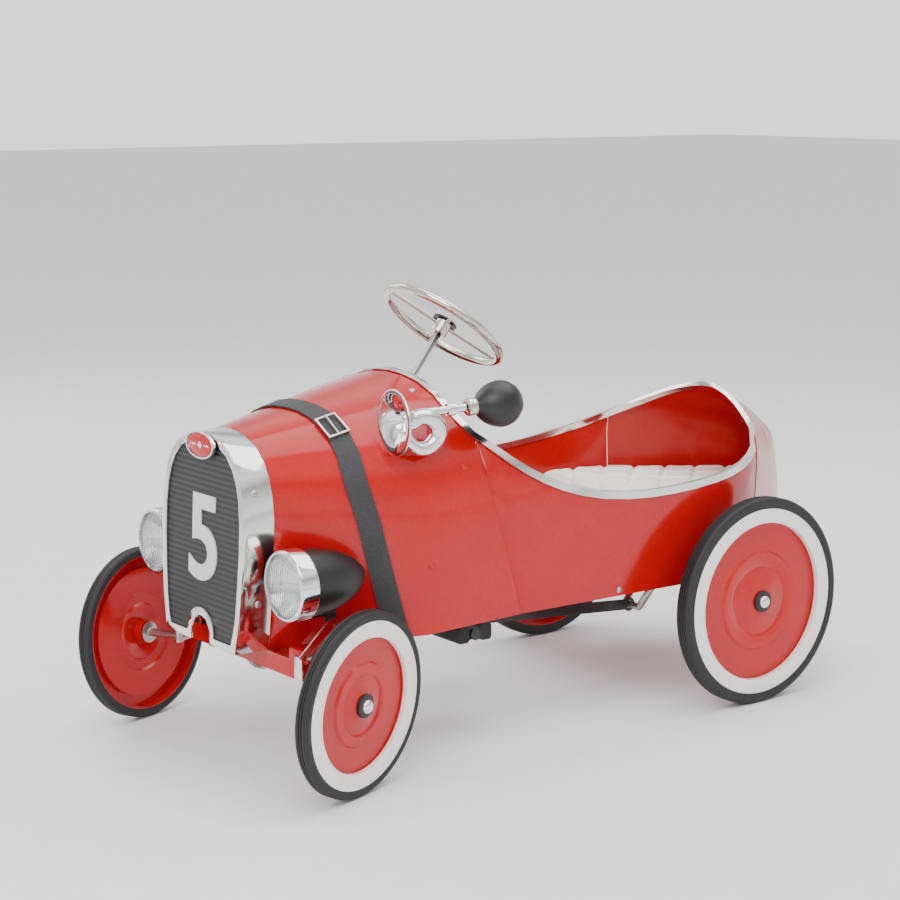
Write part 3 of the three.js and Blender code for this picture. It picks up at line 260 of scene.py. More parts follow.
def middle(node: str) -> Vector:
    """Gives the centre of a node's box."""
    low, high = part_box(node)
    return (Vector(low) + Vector(high)) / 2


def in_mm(outline: list[Point]) -> list[Point]:
    """Turns an outline in millimetres into metres."""
    return [(radius * MM, along * MM) for radius, along in outline]


def arc(centre: Point, radius: float, start: float, end: float, steps: int = 6) -> list[Point]:
    """Gives points on a round stretch of an outline.

    Args:
        centre: The arc's centre.
        radius: Its radius.
        start: The first angle, in degrees.
        end: The last angle, in degrees.
        steps: How many chords it has.

    Returns:
        The points, both ends included.
    """
    angles = [math.radians(start + (end - start) * k / steps) for k in range(steps + 1)]
    return [(centre[0] + radius * math.cos(a), centre[1] + radius * math.sin(a)) for a in angles]


def smooth(piece: bpy.types.Object, angle: float = 35.0) -> None:
    """Shades a piece smooth, except over edges sharper than the angle in degrees."""
    pick_only(piece)
    bpy.ops.object.shade_smooth_by_angle(angle=math.radians(angle))


def settle(piece: bpy.types.Object, place: Matrix) -> None:
    """Puts a piece in its place and writes the place into its mesh.

    Args:
        piece: The piece, drawn round the origin.
        place: Where it goes.
    """
    pick_only(piece)
    piece.matrix_world = place
    bpy.ops.object.transform_apply(location=True, rotation=True, scale=True)


def facing(axis: Vector, centre: Vector) -> Matrix:
    """Gives the place of a turned piece whose own axis is X.

    Args:
        axis: Where its outboard end points.
        centre: Where its zero point goes.

    Returns:
        The place as a matrix.
    """
    turn = Vector((1, 0, 0)).rotation_difference(axis.normalized())
    return Matrix.Translation(centre) @ turn.to_matrix().to_4x4()


def turn_profile(name: str, profile: list[Point], place: Matrix, steps: int = 96) -> bpy.types.Object:
    """Draws an outline point by point and spins it into a round piece.

    Args:
        name: The piece's name.
        profile: Points of radius and distance along the axis. A ring's profile ends where it starts.
        place: Where the piece goes, from a frame in which its axis is X.
        steps: How many steps the spin has.

    Returns:
        The piece.
    """
    bpy.ops.object.select_all(action="DESELECT")
    bpy.ops.mesh.primitive_plane_add(size=MM)
    piece = bpy.context.object
    piece.name = name
    bpy.ops.object.mode_set(mode="EDIT")
    bpy.ops.mesh.merge(type="CENTER")
    corners = [Vector((along, radius, 0)) for radius, along in profile]
    bpy.ops.transform.translate(value=corners[0])
    for last, here in zip(corners, corners[1:]):
        bpy.ops.mesh.extrude_vertices_move(TRANSFORM_OT_translate={"value": here - last})
    bpy.ops.mesh.select_all(action="SELECT")
    bpy.ops.mesh.spin(steps=steps, angle=2 * math.pi, center=(0, 0, 0), axis=(1, 0, 0))
    bpy.ops.mesh.select_all(action="SELECT")
    bpy.ops.mesh.remove_doubles(threshold=WELD)
    bpy.ops.mesh.normals_make_consistent(inside=False)
    bpy.ops.object.mode_set(mode="OBJECT")
    settle(piece, place)
    smooth(piece)
    return piece


def draw_rod(name: str, points: list[Vector], radii: list[float], place: Matrix) -> bpy.types.Object:
    """Bends a round rod or pipe along a smooth line.

    Args:
        name: The piece's name.
        points: The points that its middle passes.
        radii: Its radius at each point.
        place: Where the piece goes.

    Returns:
        The piece.
    """
    bpy.ops.object.select_all(action="DESELECT")
    bpy.ops.curve.primitive_bezier_curve_add()
    piece = bpy.context.object
    piece.name = name
    piece.data.bevel_depth = 1.0
    piece.data.bevel_resolution = 6
    piece.data.resolution_u = 8
    piece.data.use_fill_caps = True
    spline = piece.data.splines[0]
    spline.bezier_points.add(len(points) - len(spline.bezier_points))
    for knot, point, radius in zip(spline.bezier_points, points, radii):
        knot.co = point
        knot.radius = radius
        knot.handle_left_type = "AUTO"
        knot.handle_right_type = "AUTO"
    pick_only(piece)
    bpy.ops.object.convert(target="MESH")
    piece = bpy.context.object
    settle(piece, place)
    smooth(piece, 50.0)
    return piece


def dress(piece: bpy.types.Object, like: str, finish: Finish | None = None,
          replaced: tuple[str, ...] = ()) -> None:
    """Gives a piece its finish, chosen by the slot of the node it is like, and its body.

    Args:
        piece: The finished mesh.
        like: The node whose body and slot the piece shares.
        finish: The finish, if it isn't the slot's own.
        replaced: The nodes that the piece stands for.
    """
    slot = SLOT_OF[like]
    piece.data.materials.clear()
    piece.data.materials.append((finish or FINISHES[slot]).build())
    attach(piece, BODY_OF[like])
    if replaced:
        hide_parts(*replaced)
    LOG.info("made %s on %s", piece.name, BODY_OF[like])


def refine(node: str, angle: float = 38.0, edge_mm: float = 0.0) -> bpy.types.Object:
    """Makes the fine version of a node from its own solid: welded, shaded, and with softened edges.

    Args:
        node: The node.
        angle: Edges sharper than this many degrees stay crisp.
        edge_mm: The radius of softened edges, or 0.

    Returns:
        The piece, which replaces the node.
    """
    source = frame["nodes"][node]
    piece = bpy.data.objects.new(f"{node}_fine", source.data.copy())
    bpy.context.scene.collection.objects.link(piece)
    pick_only(piece)
    bpy.ops.object.mode_set(mode="EDIT")
    bpy.ops.mesh.select_all(action="SELECT")
    bpy.ops.mesh.remove_doubles(threshold=NODE_WELD)
    bpy.ops.mesh.tris_convert_to_quads(face_threshold=math.radians(30), shape_threshold=math.radians(60))
    bpy.ops.object.mode_set(mode="OBJECT")
    if edge_mm:
        bevel = piece.modifiers.new("soft_edges", "BEVEL")
        bevel.width = edge_mm * MM
        bevel.segments = 2
        bevel.limit_method = "ANGLE"
        bevel.angle_limit = math.radians(angle)
        bpy.ops.object.modifier_apply(modifier=bevel.name)
    smooth(piece, angle)
    dress(piece, node, replaced=(node,))
    return piece


# ---------- the studio ----------
@dataclass(frozen=True)
class SoftBox:
    """A square soft light that points at the car."""

    name: str
    place: tuple[float, float, float]
    size: float
    power: float

    def build(self, target: Vector) -> None:
        """Hangs the light.

        Args:
            target: The point that it faces.
        """
        light = bpy.data.objects.new(self.name, bpy.data.lights.new(self.name, "AREA"))
        light.data.size = self.size
        light.data.energy = self.power
        light.location = self.place
        light.rotation_euler = (target - Vector(self.place)).to_track_quat("-Z", "Y").to_euler()
        bpy.context.scene.collection.objects.link(light)


@dataclass
class Studio:
    """Camera, floor and soft light."""

    eye: tuple[float, float, float] = (2.1625, -1.7251, 0.8305)
    target: tuple[float, float, float] = (0.0, -0.0837, 0.3493)
    lens_mm: float = 84.44
    sensor_mm: float = 36.0
    floor_size: float = 40.0
    sky_strength: float = 1.5
    lit_height: float = 0.3
    bands: tuple[tuple[float, str], ...] = ((0.03, "FFFFFF"), (0.40, "A2A2A4"), (0.62, "FFFFFF"),
                                            (0.95, "C8C8CA"))
    boxes: tuple[SoftBox, ...] = (SoftBox("key", (1.6, -2.2, 2.6), 2.2, 70.0),
                                  SoftBox("fill", (-2.6, -0.6, 2.0), 2.0, 30.0),
                                  SoftBox("top", (0.2, 0.6, 3.0), 2.6, 60.0))

    def place_camera(self) -> None:
        """Stands the camera where the whole car shows from its front left."""
        camera = bpy.data.objects.new("camera", bpy.data.cameras.new("camera"))
        bpy.context.scene.collection.objects.link(camera)
        camera.data.sensor_width = self.sensor_mm
        camera.data.lens = self.lens_mm
        camera.location = self.eye
        line = Vector(self.target) - Vector(self.eye)
        camera.rotation_euler = line.to_track_quat("-Z", "Y").to_euler()
        bpy.context.scene.camera = camera

    def build(self) -> None:
        """Lays the floor and hangs the lights."""
        bpy.ops.object.select_all(action="DESELECT")
        bpy.ops.mesh.primitive_plane_add(size=self.floor_size)
        floor = bpy.context.object
        floor.name = "floor"
        floor.data.materials.append(WHITE_PAPER.build())
        self.paint_room()
        for box in self.boxes:
            box.build(Vector((0, 0, self.lit_height)))

    def paint_room(self) -> None:
        """Gives the room bands of light from its floor to its ceiling, for the gloss to mirror."""
        world = bpy.data.worlds.new("soft_room")
        world.use_nodes = True
        tree = world.node_tree
        sky = tree.nodes["Background"]
        sky.inputs["Strength"].default_value = self.sky_strength
        way = add_node(tree, "ShaderNodeTexCoord", {}, {})
        parts = add_node(tree, "ShaderNodeSeparateXYZ", {}, {"Vector": way.outputs["Generated"]})
        ramp = add_node(tree, "ShaderNodeValToRGB", {}, {"Fac": parts.outputs["Z"]})
        stops = ramp.color_ramp.elements
        stops[0].position = self.bands[0][0]
        stops[1].position = self.bands[-1][0]
        for height, _ in self.bands[1:-1]:
            stops.new(height)
        for stop, (_, code) in zip(stops, self.bands):
            stop.color = linear(code)
        tree.links.new(ramp.outputs["Color"], sky.inputs["Color"])
        bpy.context.scene.world = world


# ---------- wheels ----------
@dataclass
class Wheel:
    """A solid-tyred wheel: grooved tyre, white rim, red pressed disc, bush and domed cap.

    The pressing lists the rings of the disc: a share of the ring's radius, and a height in millimetres.
    """

    place: str
    radius: float
    width: float
    seat: float
    ring: float
    groove: float = 1.4 * MM
    shoulder: float = 5 * MM
    wall: float = 1.6 * MM
    sheet: float = 1.8 * MM
    bead: float = 1.2 * MM
    bush: float = 14.5 * MM
    bore: float = 6 * MM
    cap: float = 8.8 * MM
    dome: float = 6.2 * MM
    pressing: tuple[Point, ...] = ((0.36, 3.0), (0.43, 2.2), (0.46, 4.4), (0.60, 4.4), (0.63, 1.6))

    def build(self) -> None:
        """Builds the wheel's pieces on its axle."""
        side = 1 if "left" in self.place else -1
        tyre, disc, cap = f"tyre_{self.place}", f"wheel_disc_{self.place}", f"hub_cap_{self.place}"
        outboard = Vector(JOINTS[BODY_OF[tyre]]["axis"]) * side
        place = facing(outboard, middle(tyre))
        half = self.width / 2
        dress(turn_profile(f"{tyre}_fine", self.tyre_profile(half), place), tyre, replaced=(tyre,))
        dress(turn_profile(f"{disc}_fine", self.disc_profile(half), place), disc, replaced=(disc,))
        rim = turn_profile(f"wheel_rim_{self.place}", self.rim_profile(half), place)
        dress(rim, disc, WHITE_ENAMEL)
        bush = turn_profile(f"wheel_bush_{self.place}", self.bush_profile(half), place, 48)
        dress(bush, disc, BLACK_PLASTIC)
        dress(turn_profile(f"{cap}_fine", self.cap_profile(half), place, 48), cap, replaced=(cap,))

    def tyre_profile(self, half: float) -> list[Point]:
        """Gives the tyre's section: round shoulders and four grooves round the tread.

        Args:
            half: Half the width of the tyre.

        Returns:
            The closed outline.
        """
        tread = self.radius - self.shoulder
        line = [(self.seat, half - MM), (tread - 2 * MM, half)]
        line += arc((tread, half - self.shoulder), self.shoulder, 90, 0)
        for k in (1.5, 0.5, -0.5, -1.5):
            at = k * self.width / 5.5
            line += [(self.radius, at + self.groove / 2), (self.radius - self.groove, at + self.groove / 4),
                     (self.radius - self.groove, at - self.groove / 4), (self.radius, at - self.groove / 2)]
        line += arc((tread, self.shoulder - half), self.shoulder, 0, -90)
        return line + [(tread - 2 * MM, -half), (self.seat, MM - half), line[0]]

    def disc_profile(self, half: float) -> list[Point]:
        """Gives the red pressing's section, with two rings pressed into it and a raised centre.

        Args:
            half: Half the width of the tyre.

        Returns:
            The closed outline.
        """
        rings = [(share * self.ring, height * MM) for share, height in self.pressing]
        backs = [(radius, height - self.sheet) for radius, height in reversed(rings)]
        lip, corner = 1.2 * MM, 1.5 * MM
        face = [(self.bush, half - 3 * MM), (0.22 * self.ring, half - 4.5 * MM)] + rings
        face += [(0.90 * self.ring, MM), (self.ring - 2 * MM, MM)]
        face += arc((self.ring - corner, MM + corner), corner, -90, 0, 4)
        face += [(self.ring, half - 2 * MM), (self.seat, half - 2 * MM), (self.seat, lip - half)]
        back = [(self.seat - self.wall, lip - half), (self.seat - self.wall, half - 3.6 * MM),
                (self.ring + self.wall, half - 3.6 * MM), (self.ring + self.wall, -MM)] + backs
        back += [(0.22 * self.ring, half - 6.4 * MM), (self.bush, half - 5 * MM), (self.bush, -half),
                 (self.bore, -half), (self.bore, half - 3 * MM)]
        return face + back + [face[0]]

    def rim_profile(self, half: float) -> list[Point]:
        """Gives the white ring's section: a flat flange with a rolled inner edge.

        Args:
            half: Half the width of the tyre.

        Returns:
            The closed outline.
        """
        under, inner = half - 1.9 * MM, self.ring - 0.1 * MM
        line = [(self.seat, under)] + arc((self.seat - self.bead, half - self.bead), self.bead, 0, 90, 4)
        line += arc((self.ring + self.bead - MM, half - self.bead), self.bead, 90, 180, 4)
        line += [(self.ring - MM, 3 * MM), (inner, 3 * MM), (inner, under)]
        return line + [line[0]]

    def bush_profile(self, half: float) -> list[Point]:
        """Gives the section of the black bush in the middle of the disc.

        Args:
            half: Half the width of the tyre.

        Returns:
            The closed outline.
        """
        foot = half - 3 * MM
        return [(self.cap, foot), (self.bush, foot), *arc((self.bush - MM, half), MM, 0, 90, 3),
                (self.cap, half + MM), (self.cap, foot)]

    def cap_profile(self, half: float) -> list[Point]:
        """Gives the section of the domed cap.

        Args:
            half: Half the width of the tyre.

        Returns:
            The outline, from the axis to the axis.
        """
        crown = [(x * self.cap, half + 1.6 * MM + y * self.dome) for x, y in arc((0, 0), 1.0, 90, 0, 8)]
        return crown + [(self.cap, half - MM), (0, half - MM)]


# ---------- headlamps ----------
@dataclass
class Headlamp:
    """A bullet headlamp: black shell, bright bezel, fluted lens and silver reflector."""

    side: str
    radius: float = 42.8 * MM
    glass: float = 38.6 * MM
    flute: float = 4.6 * MM
    flute_depth: float = 0.35 * MM
    inset: float = 1.5 * MM
    dome_steps: int = 20
    bowl_steps: int = 12

    def build(self) -> None:
        """Builds the lamp facing forwards."""
        bezel, lens, shell = (f"headlamp_{kind}_{self.side}" for kind in ("bezel", "lens", "shell"))
        front = Vector(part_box(bezel)[0]).y + self.inset
        centre = Vector((middle(bezel).x, front, middle(bezel).z))
        place = facing(Vector((0, -1, 0)), centre)
        dress(turn_profile(f"{bezel}_fine", self.bezel_profile(), place), bezel, replaced=(bezel,))
        refine(shell, 42.0)
        glass = turn_profile(f"{lens}_fine", self.lens_profile(), place, 128)
        for vertex in glass.data.vertices:
            across = (vertex.co.x - centre.x) / self.flute
            vertex.co.y += self.flute_depth * math.cos(2 * math.pi * across)
        dress(glass, lens, replaced=(lens,))
        reflector = turn_profile(f"headlamp_reflector_{self.side}", self.bowl_profile(), place)
        dress(reflector, bezel, CHROME)
        refine(f"headlamp_bracket_{self.side}", edge_mm=0.5)

    def bezel_profile(self) -> list[Point]:
        """Gives the bright ring's section, with its rolled front and rear edges.

        Returns:
            The closed outline.
        """
        outline = [(self.glass, 1.2 * MM), *arc((self.radius - 4 * MM, -2 * MM), 3.4 * MM, 100, 20, 5)]
        outline += [(self.radius, -4 * MM), (self.radius, -20 * MM)]
        outline += arc((self.radius - 1.6 * MM, -21.5 * MM), 1.6 * MM, 0, -120, 5)
        return outline + [(self.glass + 2.2 * MM, -4 * MM), (self.glass, -3 * MM), outline[0]]

    def lens_profile(self) -> list[Point]:
        """Gives the lens's section, a shallow dome of even thickness.

        Returns:
            The outline, from the axis to the axis.
        """
        shares = [k / self.dome_steps for k in range(self.dome_steps + 1)]
        dome = [(self.glass * share, (4 - 5.6 * share ** 2) * MM) for share in shares]
        return dome + [(radius, along - 2.4 * MM) for radius, along in reversed(dome)]

    def bowl_profile(self) -> list[Point]:
        """Gives the reflector's section, a parabola.

        Returns:
            The outline, from the axis to the axis.
        """
        shares = [k / self.bowl_steps for k in range(self.bowl_steps + 1)]
        bowl = [((self.glass - MM) * share, (-30 + 24 * share ** 2) * MM) for share in shares]
        return bowl + [(radius, along - MM) for radius, along in reversed(bowl)]


# ---------- horn ----------
@dataclass
class Horn:
    """A bulb horn: a flared bell with a rolled rim, one turn of pipe, a ferrule and a rubber bulb."""

    mouth: float = 40.5 * MM
    yaw: float = math.radians(-7)
    lip_gap: float = 0.8 * MM

    def build(self) -> None:
        """Builds the horn from its mouth back to its bulb."""
        low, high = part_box("horn_trumpet")
        lip = self.mouth * math.cos(self.yaw)
        front = low[1] + self.mouth * math.sin(-self.yaw) + self.lip_gap
        centre = Vector((high[0] - lip, front, high[2] - self.mouth))
        place = Matrix.Translation(centre) @ Matrix.Rotation(self.yaw, 4, "Z")
        self.add_bell(place @ facing(Vector((0, 1, 0)), Vector()))
        end = self.add_coil(place)
        self.add_bulb(place @ facing(Vector((0, 1, 0.02)), end))
        refine("horn_bracket", edge_mm=0.4)

    def add_bell(self, place: Matrix) -> None:
        """Spins the flared bell, from its closed throat out round its rolled rim and back in.

        Args:
            place: The middle of the mouth, with X pointing back.
        """
        outside = [(10.5, 24), (12.2, 19), (15.5, 13.6), (20, 9.4), (25.5, 6), (31, 3.4), (36.5, 1.4)]
        rim = arc((38.9, 0.7), 1.5, 120, -60, 6)
        inside = [(36, -0.4), (31, 1.4), (25.5, 3.6), (19.4, 7.2), (14.6, 11.4), (11, 17), (9.4, 23)]
        outline = [(0, 30), (9, 29), *outside, *rim, *inside, (0, 23.4)]
        bell = turn_profile("horn_bell", in_mm(outline), place)
        dress(bell, "horn_trumpet", replaced=("horn_trumpet",))

    def add_coil(self, place: Matrix) -> Vector:
        """Bends the pipe once round and back to the bulb, thinner towards its end.

        Args:
            place: The middle of the mouth.

        Returns:
            The end of the pipe, in the frame of the mouth.
        """
        course = [(0, 26, 0), (0, 38, 4), (0, 53, -1), (0, 61, -15), (-1, 54, -29), (-2, 40, -35),
                  (-4, 27, -29), (-9, 21, -15), (-14, 28, 0), (-15, 42, 6), (-13, 56, 7), (-9, 72, 8),
                  (-5, 101, 10)]
        widths = [9.5, 9.5, 10.5, 10.5, 10, 9, 8, 7, 6, 5.4, 5, 4.8, 4.8]
        points = [Vector(point) * MM for point in course]
        coil = draw_rod("horn_coil", points, [width * MM for width in widths], place)
        dress(coil, "horn_trumpet")
        return points[-1]

    def add_bulb(self, place: Matrix) -> None:
        """Spins the nickel ferrule and the rubber bulb on the end of the pipe.

        Args:
            place: The end of the pipe, with X pointing back.
        """
        ferrule = [(0, 1.2), (8, 1.2), (10, 2), (10.8, 3.4), (10.8, 12.6), (10.2, 14), (9.8, 14), (9.8, 7),
                   (0, 7)]
        bulb = [(0, 78), (5, 77.4), (11, 75.4), (17, 72), (22.4, 67), (26.4, 60.6), (28.4, 54), (28.8, 47.6),
                (27.6, 40.6), (25, 33.4), (21.4, 27), (17, 21.8), (13, 18), (10.4, 15.6), (9.3, 14.2),
                (9.3, 8), (0, 8)]
        for node, outline in (("horn_ferrule", ferrule), ("horn_bulb", bulb)):
            dress(turn_profile(f"{node}_fine", in_mm(outline), place), node, replaced=(node,))


# ---------- steering ----------
@dataclass
class Steering:
    """A nickel-plated wheel with four thin spokes, on its column."""

    radius: float = 83 * MM
    tube: float = 6 * MM
    hub: float = 8 * MM
    spoke: float = 2.6 * MM
    spokes: int = 4
    taper: float = 1.15
    turned: float = math.radians(17)

    def build(self) -> None:
        """Builds the wheel in its tilted plane, with its hub, cap and column."""
        axis = Vector(JOINTS["steering"]["axis"])
        centre = Vector(JOINTS["steering"]["pos_m"])
        side = Vector((1, 0, 0))
        across = Matrix((side, axis.cross(side), axis)).transposed().to_4x4()
        place = Matrix.Translation(centre) @ across
        self.add_rim(place)
        for number in range(self.spokes):
            self.add_spoke(number, place)
        self.add_hub(place @ facing(Vector((0, 0, 1)), Vector()))
        refine("steering_column")
        refine("steering_bracket", edge_mm=0.5)
        refine("dash_bracket", edge_mm=0.4)

    def add_rim(self, place: Matrix) -> None:
        """Lays the round rim.

        Args:
            place: The middle of the wheel, with Z along the column.
        """
        bpy.ops.object.select_all(action="DESELECT")
        bpy.ops.mesh.primitive_torus_add(major_radius=self.radius, minor_radius=self.tube,
                                         major_segments=120, minor_segments=24)
        rim = bpy.context.object
        rim.name = "steering_rim"
        settle(rim, place)
        smooth(rim)
        dress(rim, "steering_wheel", replaced=("steering_wheel",))

    def add_spoke(self, number: int, place: Matrix) -> None:
        """Sets one spoke between the hub and the rim.

        Args:
            number: Its number, from 0.
            place: The middle of the wheel, with Z along the column.
        """
        angle = (0.25 + 2 * number / self.spokes) * math.pi - self.turned
        ray = Vector((math.sin(angle), math.cos(angle), 0))
        stick = draw_rod(f"steering_spoke_{number + 1}", [ray * self.hub, ray * self.radius],
                         [self.spoke * self.taper, self.spoke], place)
        dress(stick, "steering_wheel")

    def add_hub(self, place: Matrix) -> None:
        """Spins the hub and the black cap on it.

        Args:
            place: The middle of the wheel, with X along the column.
        """
        hub = [(5.2, -14), (9.6, -14), (11, -12.6), (11, 3.8), (10, 5), (5.2, 5), (5.2, -14)]
        dress(turn_profile("steering_hub", in_mm(hub), place, 64), "steering_wheel")
        cap = [(0, 9.5), (6, 9.3), (11, 8.7), (14.6, 7.8), (16.6, 6.6), (17, 5.4), (0, 5.4)]
        disc = turn_profile("steering_hub_cap_fine", in_mm(cap), place, 64)
        dress(disc, "steering_hub_cap", replaced=("steering_hub_cap",))


# ---------- seat ----------
@dataclass
class Seat:
    """A padded cushion, tufted in diamonds, on the red seat pan."""

    voxel: float = 5 * MM
    pressure: float = 4.0
    frames: int = 20
    most: float = 9 * MM
    pitch: float = 62 * MM
    seam: float = 4.2 * MM
    seam_width: float = 0.075
    crossing: float = 1.7
    shrink: float = 0.975

    def build(self) -> None:
        """Builds the pan and the cushion."""
        refine("seat_pan", edge_mm=0.5)
        piece = bpy.data.objects.new("seat_cushion_padded", frame["nodes"]["seat_cushion"].data.copy())
        bpy.context.scene.collection.objects.link(piece)
        self.remesh(piece)
        self.inflate(piece)
        pick_only(piece)
        finer = piece.modifiers.new("finer", "SUBSURF")
        finer.levels = 1
        finer.render_levels = 1
        bpy.ops.object.modifier_apply(modifier=finer.name)
        self.tuft(piece)
        smooth(piece, 60.0)
        dress(piece, "seat_cushion", replaced=("seat_cushion",))

    def remesh(self, piece: bpy.types.Object) -> None:
        """Starts a little under size, because the pad swells, with an even mesh.

        Args:
            piece: The cushion.
        """
        centre = middle("seat_cushion")
        for vertex in piece.data.vertices:
            vertex.co = centre + (vertex.co - centre) * self.shrink
        pick_only(piece)
        even = piece.modifiers.new("even", "REMESH")
        even.mode = "VOXEL"
        even.voxel_size = self.voxel
        bpy.ops.object.modifier_apply(modifier=even.name)

    def inflate(self, piece: bpy.types.Object) -> None:
        """Fills the cover by cloth simulation, and caps how far a point may move.

        Args:
            piece: The cushion.
        """
        start = [vertex.co.copy() for vertex in piece.data.vertices]
        cloth = piece.modifiers.new("cover", "CLOTH")
        cloth.settings.use_pressure = True
        cloth.settings.uniform_pressure_force = self.pressure
        cloth.settings.effector_weights.gravity = 0.0
        cloth.point_cache.frame_start = 1
        cloth.point_cache.frame_end = self.frames
        for number in range(1, self.frames + 1):
            bpy.context.scene.frame_set(number)
        pick_only(piece)
        bpy.ops.object.modifier_apply(modifier=cloth.name)
        for vertex, was in zip(piece.data.vertices, start):
            moved = vertex.co - was
            if moved.length > self.most:
                vertex.co = was + moved.normalized() * self.most

    def tuft(self, piece: bpy.types.Object) -> None:
        """Pulls the diamond seams, deepest where they cross, into the top.

        Args:
            piece: The cushion.
        """
        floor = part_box("seat_cushion")[0][2]
        for vertex in piece.data.vertices:
            facing_up = max(0.0, vertex.normal.z)
            across, back = ((value + 1.0) / self.pitch for value in vertex.co[:2])
            lines = [abs((value + 0.5) % 1 - 0.5) for value in (across + back, across - back)]
            groove = sum(math.exp(-((line / self.seam_width) ** 2)) for line in lines)
            vertex.co.z -= facing_up * self.seam * min(groove, self.crossing)
            vertex.co.z = max(vertex.co.z, floor)


# ---------- body ----------
@dataclass
class Screws:
    """Round-headed screws and bolts, each set on the sheet that it holds."""

    radius: float = 4.4 * MM
    height: float = 2.6 * MM
    sunk: float = 1.2 * MM
    far: float = 0.4
    cowl_top: Point = (73.7 * MM, -198.2 * MM)

    def build(self) -> None:
        """Sets the heads in pairs. A place is seen from the side as y and z, in millimetres."""
        sideways = (("cowl", -189.2, 363.6, RED_ENAMEL, "hood_and_cowl"),
                    ("seam", -146.2, 263.0, RED_ENAMEL, "body_side_{}"),
                    ("edge_front", -243.9, 249.4, RED_ENAMEL, "hood_and_cowl"),
                    ("edge_rear", 59.2, 174.6, ZINC, "body_side_{}"),
                    ("shell_upper", -441.2, 348.0, ZINC, "grille_shell"),
                    ("shell_lower", -437.2, 214.0, ZINC, "grille_shell"))
        for side, label in ((1, "left"), (-1, "right")):
            for name, y, z, finish, node in sideways:
                start = Vector((side * self.far, y * MM, z * MM))
                self.set_head(f"{name}_{label}", node.format(label), start, Vector((-side, 0, 0)), finish)
            above = Vector((side * self.cowl_top[0], self.cowl_top[1], 2 * self.far))
            self.set_head(f"cowl_top_{label}", "hood_and_cowl", above, Vector((0, 0, -1)), ZINC)

    def set_head(self, name: str, node: str, start: Vector, line: Vector, finish: Finish) -> None:
        """Sets one head where a line meets a panel.

        Args:
            name: The screw's name.
            node: The panel's node.
            start: A point outside the panel.
            line: The direction towards the panel.
            finish: The screw's finish.
        """
        panel = bpy.data.objects[f"{node}_fine"]
        found, point, normal, _ = panel.ray_cast(start, line)
        if not found:
            LOG.warning("no place for screw %s", name)
            return
        profile = [(x * self.radius, y * self.height) for x, y in arc((0, 0), 1.0, 90, 0, 6)]
        profile += [(self.radius, -self.sunk), (0, -self.sunk)]
        out = normal if normal.dot(line) < 0 else -normal
        dress(turn_profile(f"screw_{name}", profile, facing(out, point), 32), node, finish)


@dataclass
class BodyShell:
    """The red panels, the bright edge of the cockpit, and the strap over the hood."""

    prong: float = 1.3 * MM
    prong_share: float = 0.46
    reach: float = 0.1

    def build(self) -> None:
        """Refines each panel from its own solid."""
        for node in ("hood_and_cowl", "body_side_left", "body_side_right", "tail_cone", "cockpit_trim",
                     "hood_strap", "front_hoop"):
            refine(node, 40.0)
        refine("strap_buckle", edge_mm=0.6)
        self.add_prong()
        refine("front_axle_beam", edge_mm=0.8)

    def add_prong(self) -> None:
        """Lays the buckle's prong across its opening, along the strap."""
        low, high = (Vector(corner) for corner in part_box("strap_buckle"))
        centre = (low + high) / 2
        panel = bpy.data.objects["hood_and_cowl_fine"]
        _, _, normal, _ = panel.ray_cast(centre + Vector((self.reach, 0, self.reach)), Vector((-1, 0, -1)))
        along = Vector((0, 1, 0)).cross(normal).normalized()
        half = self.prong_share * (high - low).length / math.sqrt(2)
        ends = [centre - along * half, centre, centre + along * half]
        prong = draw_rod("buckle_prong", [end + normal * MM for end in ends], [self.prong] * 3, Matrix())
        dress(prong, "strap_buckle")


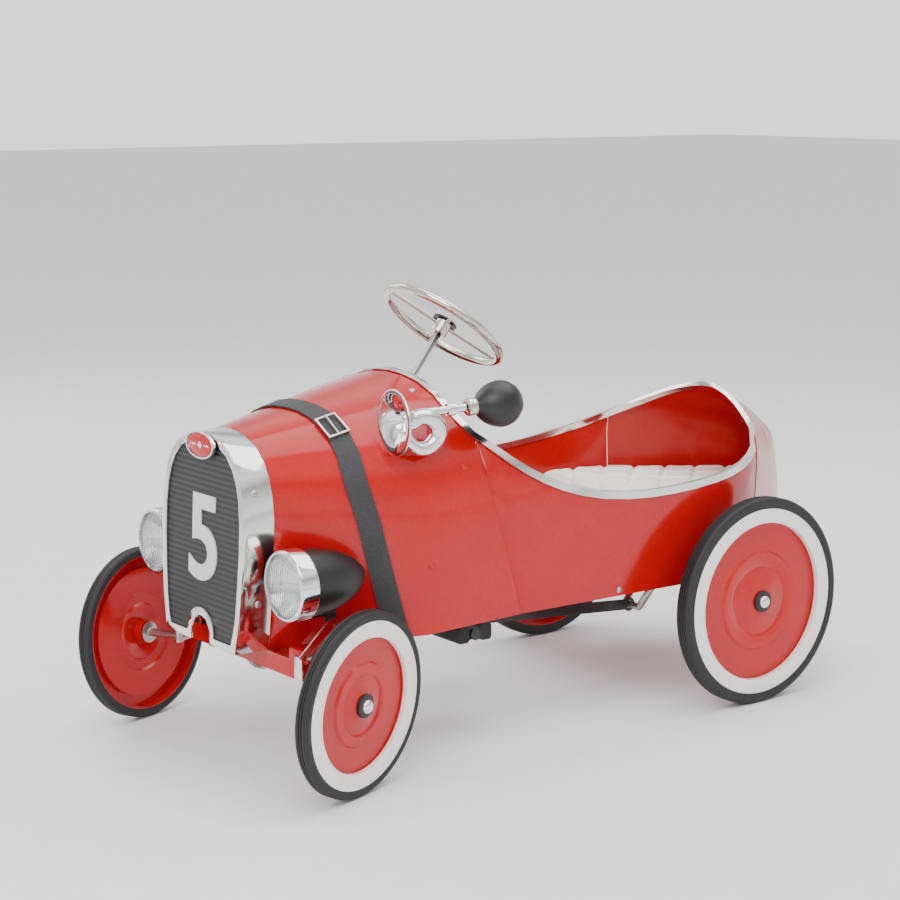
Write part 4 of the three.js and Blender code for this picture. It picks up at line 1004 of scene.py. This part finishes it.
@dataclass
class Grille:
    """The bright shell with its mesh, its racing number and a plain oval badge."""

    digit: str = "5"
    height: float = 106 * MM
    width: float = 64 * MM
    middle_z: float = 0.282
    proud: float = 0.8 * MM
    slope: float = 0.044
    boldness: float = 0.02
    depth: float = 0.004
    flatten: float = 0.2
    emblem_half: float = 0.4 * MM

    def build(self) -> None:
        """Builds the shell, the mesh, the number and the badge."""
        refine("grille_shell", 34.0, edge_mm=0.7)
        refine("grille_mesh", 34.0)
        refine("badge_bezel", 34.0, edge_mm=0.8)
        refine("badge_plate", 34.0, edge_mm=0.6)
        self.add_number()
        for name, shift, wide, tall, steps in (("middle", 0.0, 7.0, 6.0, 4), ("left", 15.0, 8.0, 1.4, 24),
                                               ("right", -15.0, 8.0, 1.4, 24)):
            self.add_emblem(name, shift * MM, (wide * MM, tall * MM), steps)

    def add_number(self) -> None:
        """Lays the painted number on the leaning mesh."""
        bpy.ops.object.select_all(action="DESELECT")
        bpy.ops.object.text_add()
        number = bpy.context.object
        number.name = "racing_number"
        number.data.body = self.digit
        number.data.offset = self.boldness
        number.data.extrude = self.depth
        number.data.align_x = "CENTER"
        number.data.align_y = "CENTER"
        pick_only(number)
        bpy.ops.object.convert(target="MESH")
        number = bpy.context.object
        corners = [vertex.co.copy() for vertex in number.data.vertices]
        low = Vector([min(c[k] for c in corners) for k in range(3)])
        high = Vector([max(c[k] for c in corners) for k in range(3)])
        size = high - low
        grow = Matrix.Diagonal((self.width / size.x, self.height / size.y, self.flatten, 1))
        centred = grow @ Matrix.Translation(-(low + high) / 2)
        _, front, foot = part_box("grille_mesh")[0]
        lean = self.slope * (self.middle_z - foot)
        upright = Matrix.Rotation(math.radians(90) - math.atan(self.slope), 4, "X")
        place = Matrix.Translation((0, front + lean - self.proud, self.middle_z))
        settle(number, place @ upright @ centred)
        dress(number, "grille_mesh", NUMBER_PAINT)

    def add_emblem(self, name: str, shift: float, size: Point, steps: int) -> None:
        """Raises a plain lozenge or a bright bar on the badge.

        Args:
            name: Its name.
            shift: How far it is from the middle of the badge, to the car's left.
            size: Half its width and half its height.
            steps: How many sides it has.
        """
        wide, tall = size
        centre = middle("badge_plate")
        front = Vector((centre.x + shift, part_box("badge_plate")[0][1], centre.z))
        half = self.emblem_half
        outline = [(0, half), (0.6 * tall, half), (tall, -half), (0, -half)]
        widen = Matrix.Translation(front) @ Matrix.Diagonal((wide / tall, 1, 1, 1))
        place = widen @ facing(Vector((0, -1, 0)), Vector())
        dress(turn_profile(f"badge_emblem_{name}", outline, place, steps), "badge_plate", CHROME)


@dataclass
class RunningGear:
    """Rails, bearings, crank, knuckles, tie rod, pedals and push rods."""

    def build(self) -> None:
        """Refines each bar and plate from its own solid."""
        crisp = ["chassis_rail_left", "chassis_rail_right", "rear_bearing_left", "rear_bearing_right",
                 "stub_axle_left", "stub_axle_right", "tie_rod", "pedal_arm_left", "pedal_arm_right",
                 "push_rod_left", "push_rod_right", "pedal_pivot_rod"]
        for node in crisp:
            refine(node, 40.0, edge_mm=0.4)
        refine("rear_crank_axle", 50.0)
        for node in ("pedal_pad_left", "pedal_pad_right"):
            refine(node, 30.0, edge_mm=1.0)


def main() -> None:
    """Builds the car, one sub-assembly after another."""
    logging.basicConfig(level=logging.INFO, format="%(message)s")
    studio = Studio()
    studio.place_camera()
    BodyShell().build()
    Grille().build()
    Screws().build()
    for place in ("rear_left", "rear_right"):
        Wheel(place, 140 * MM, 22 * MM, 125.6 * MM, 107.3 * MM).build()
    for place in ("front_left", "front_right"):
        Wheel(place, 111.9 * MM, 18.4 * MM, 101 * MM, 82.1 * MM).build()
    for side in ("left", "right"):
        Headlamp(side).build()
    Horn().build()
    Steering().build()
    Seat().build()
    RunningGear().build()
    studio.build()


if __name__ == "__main__":
    main()
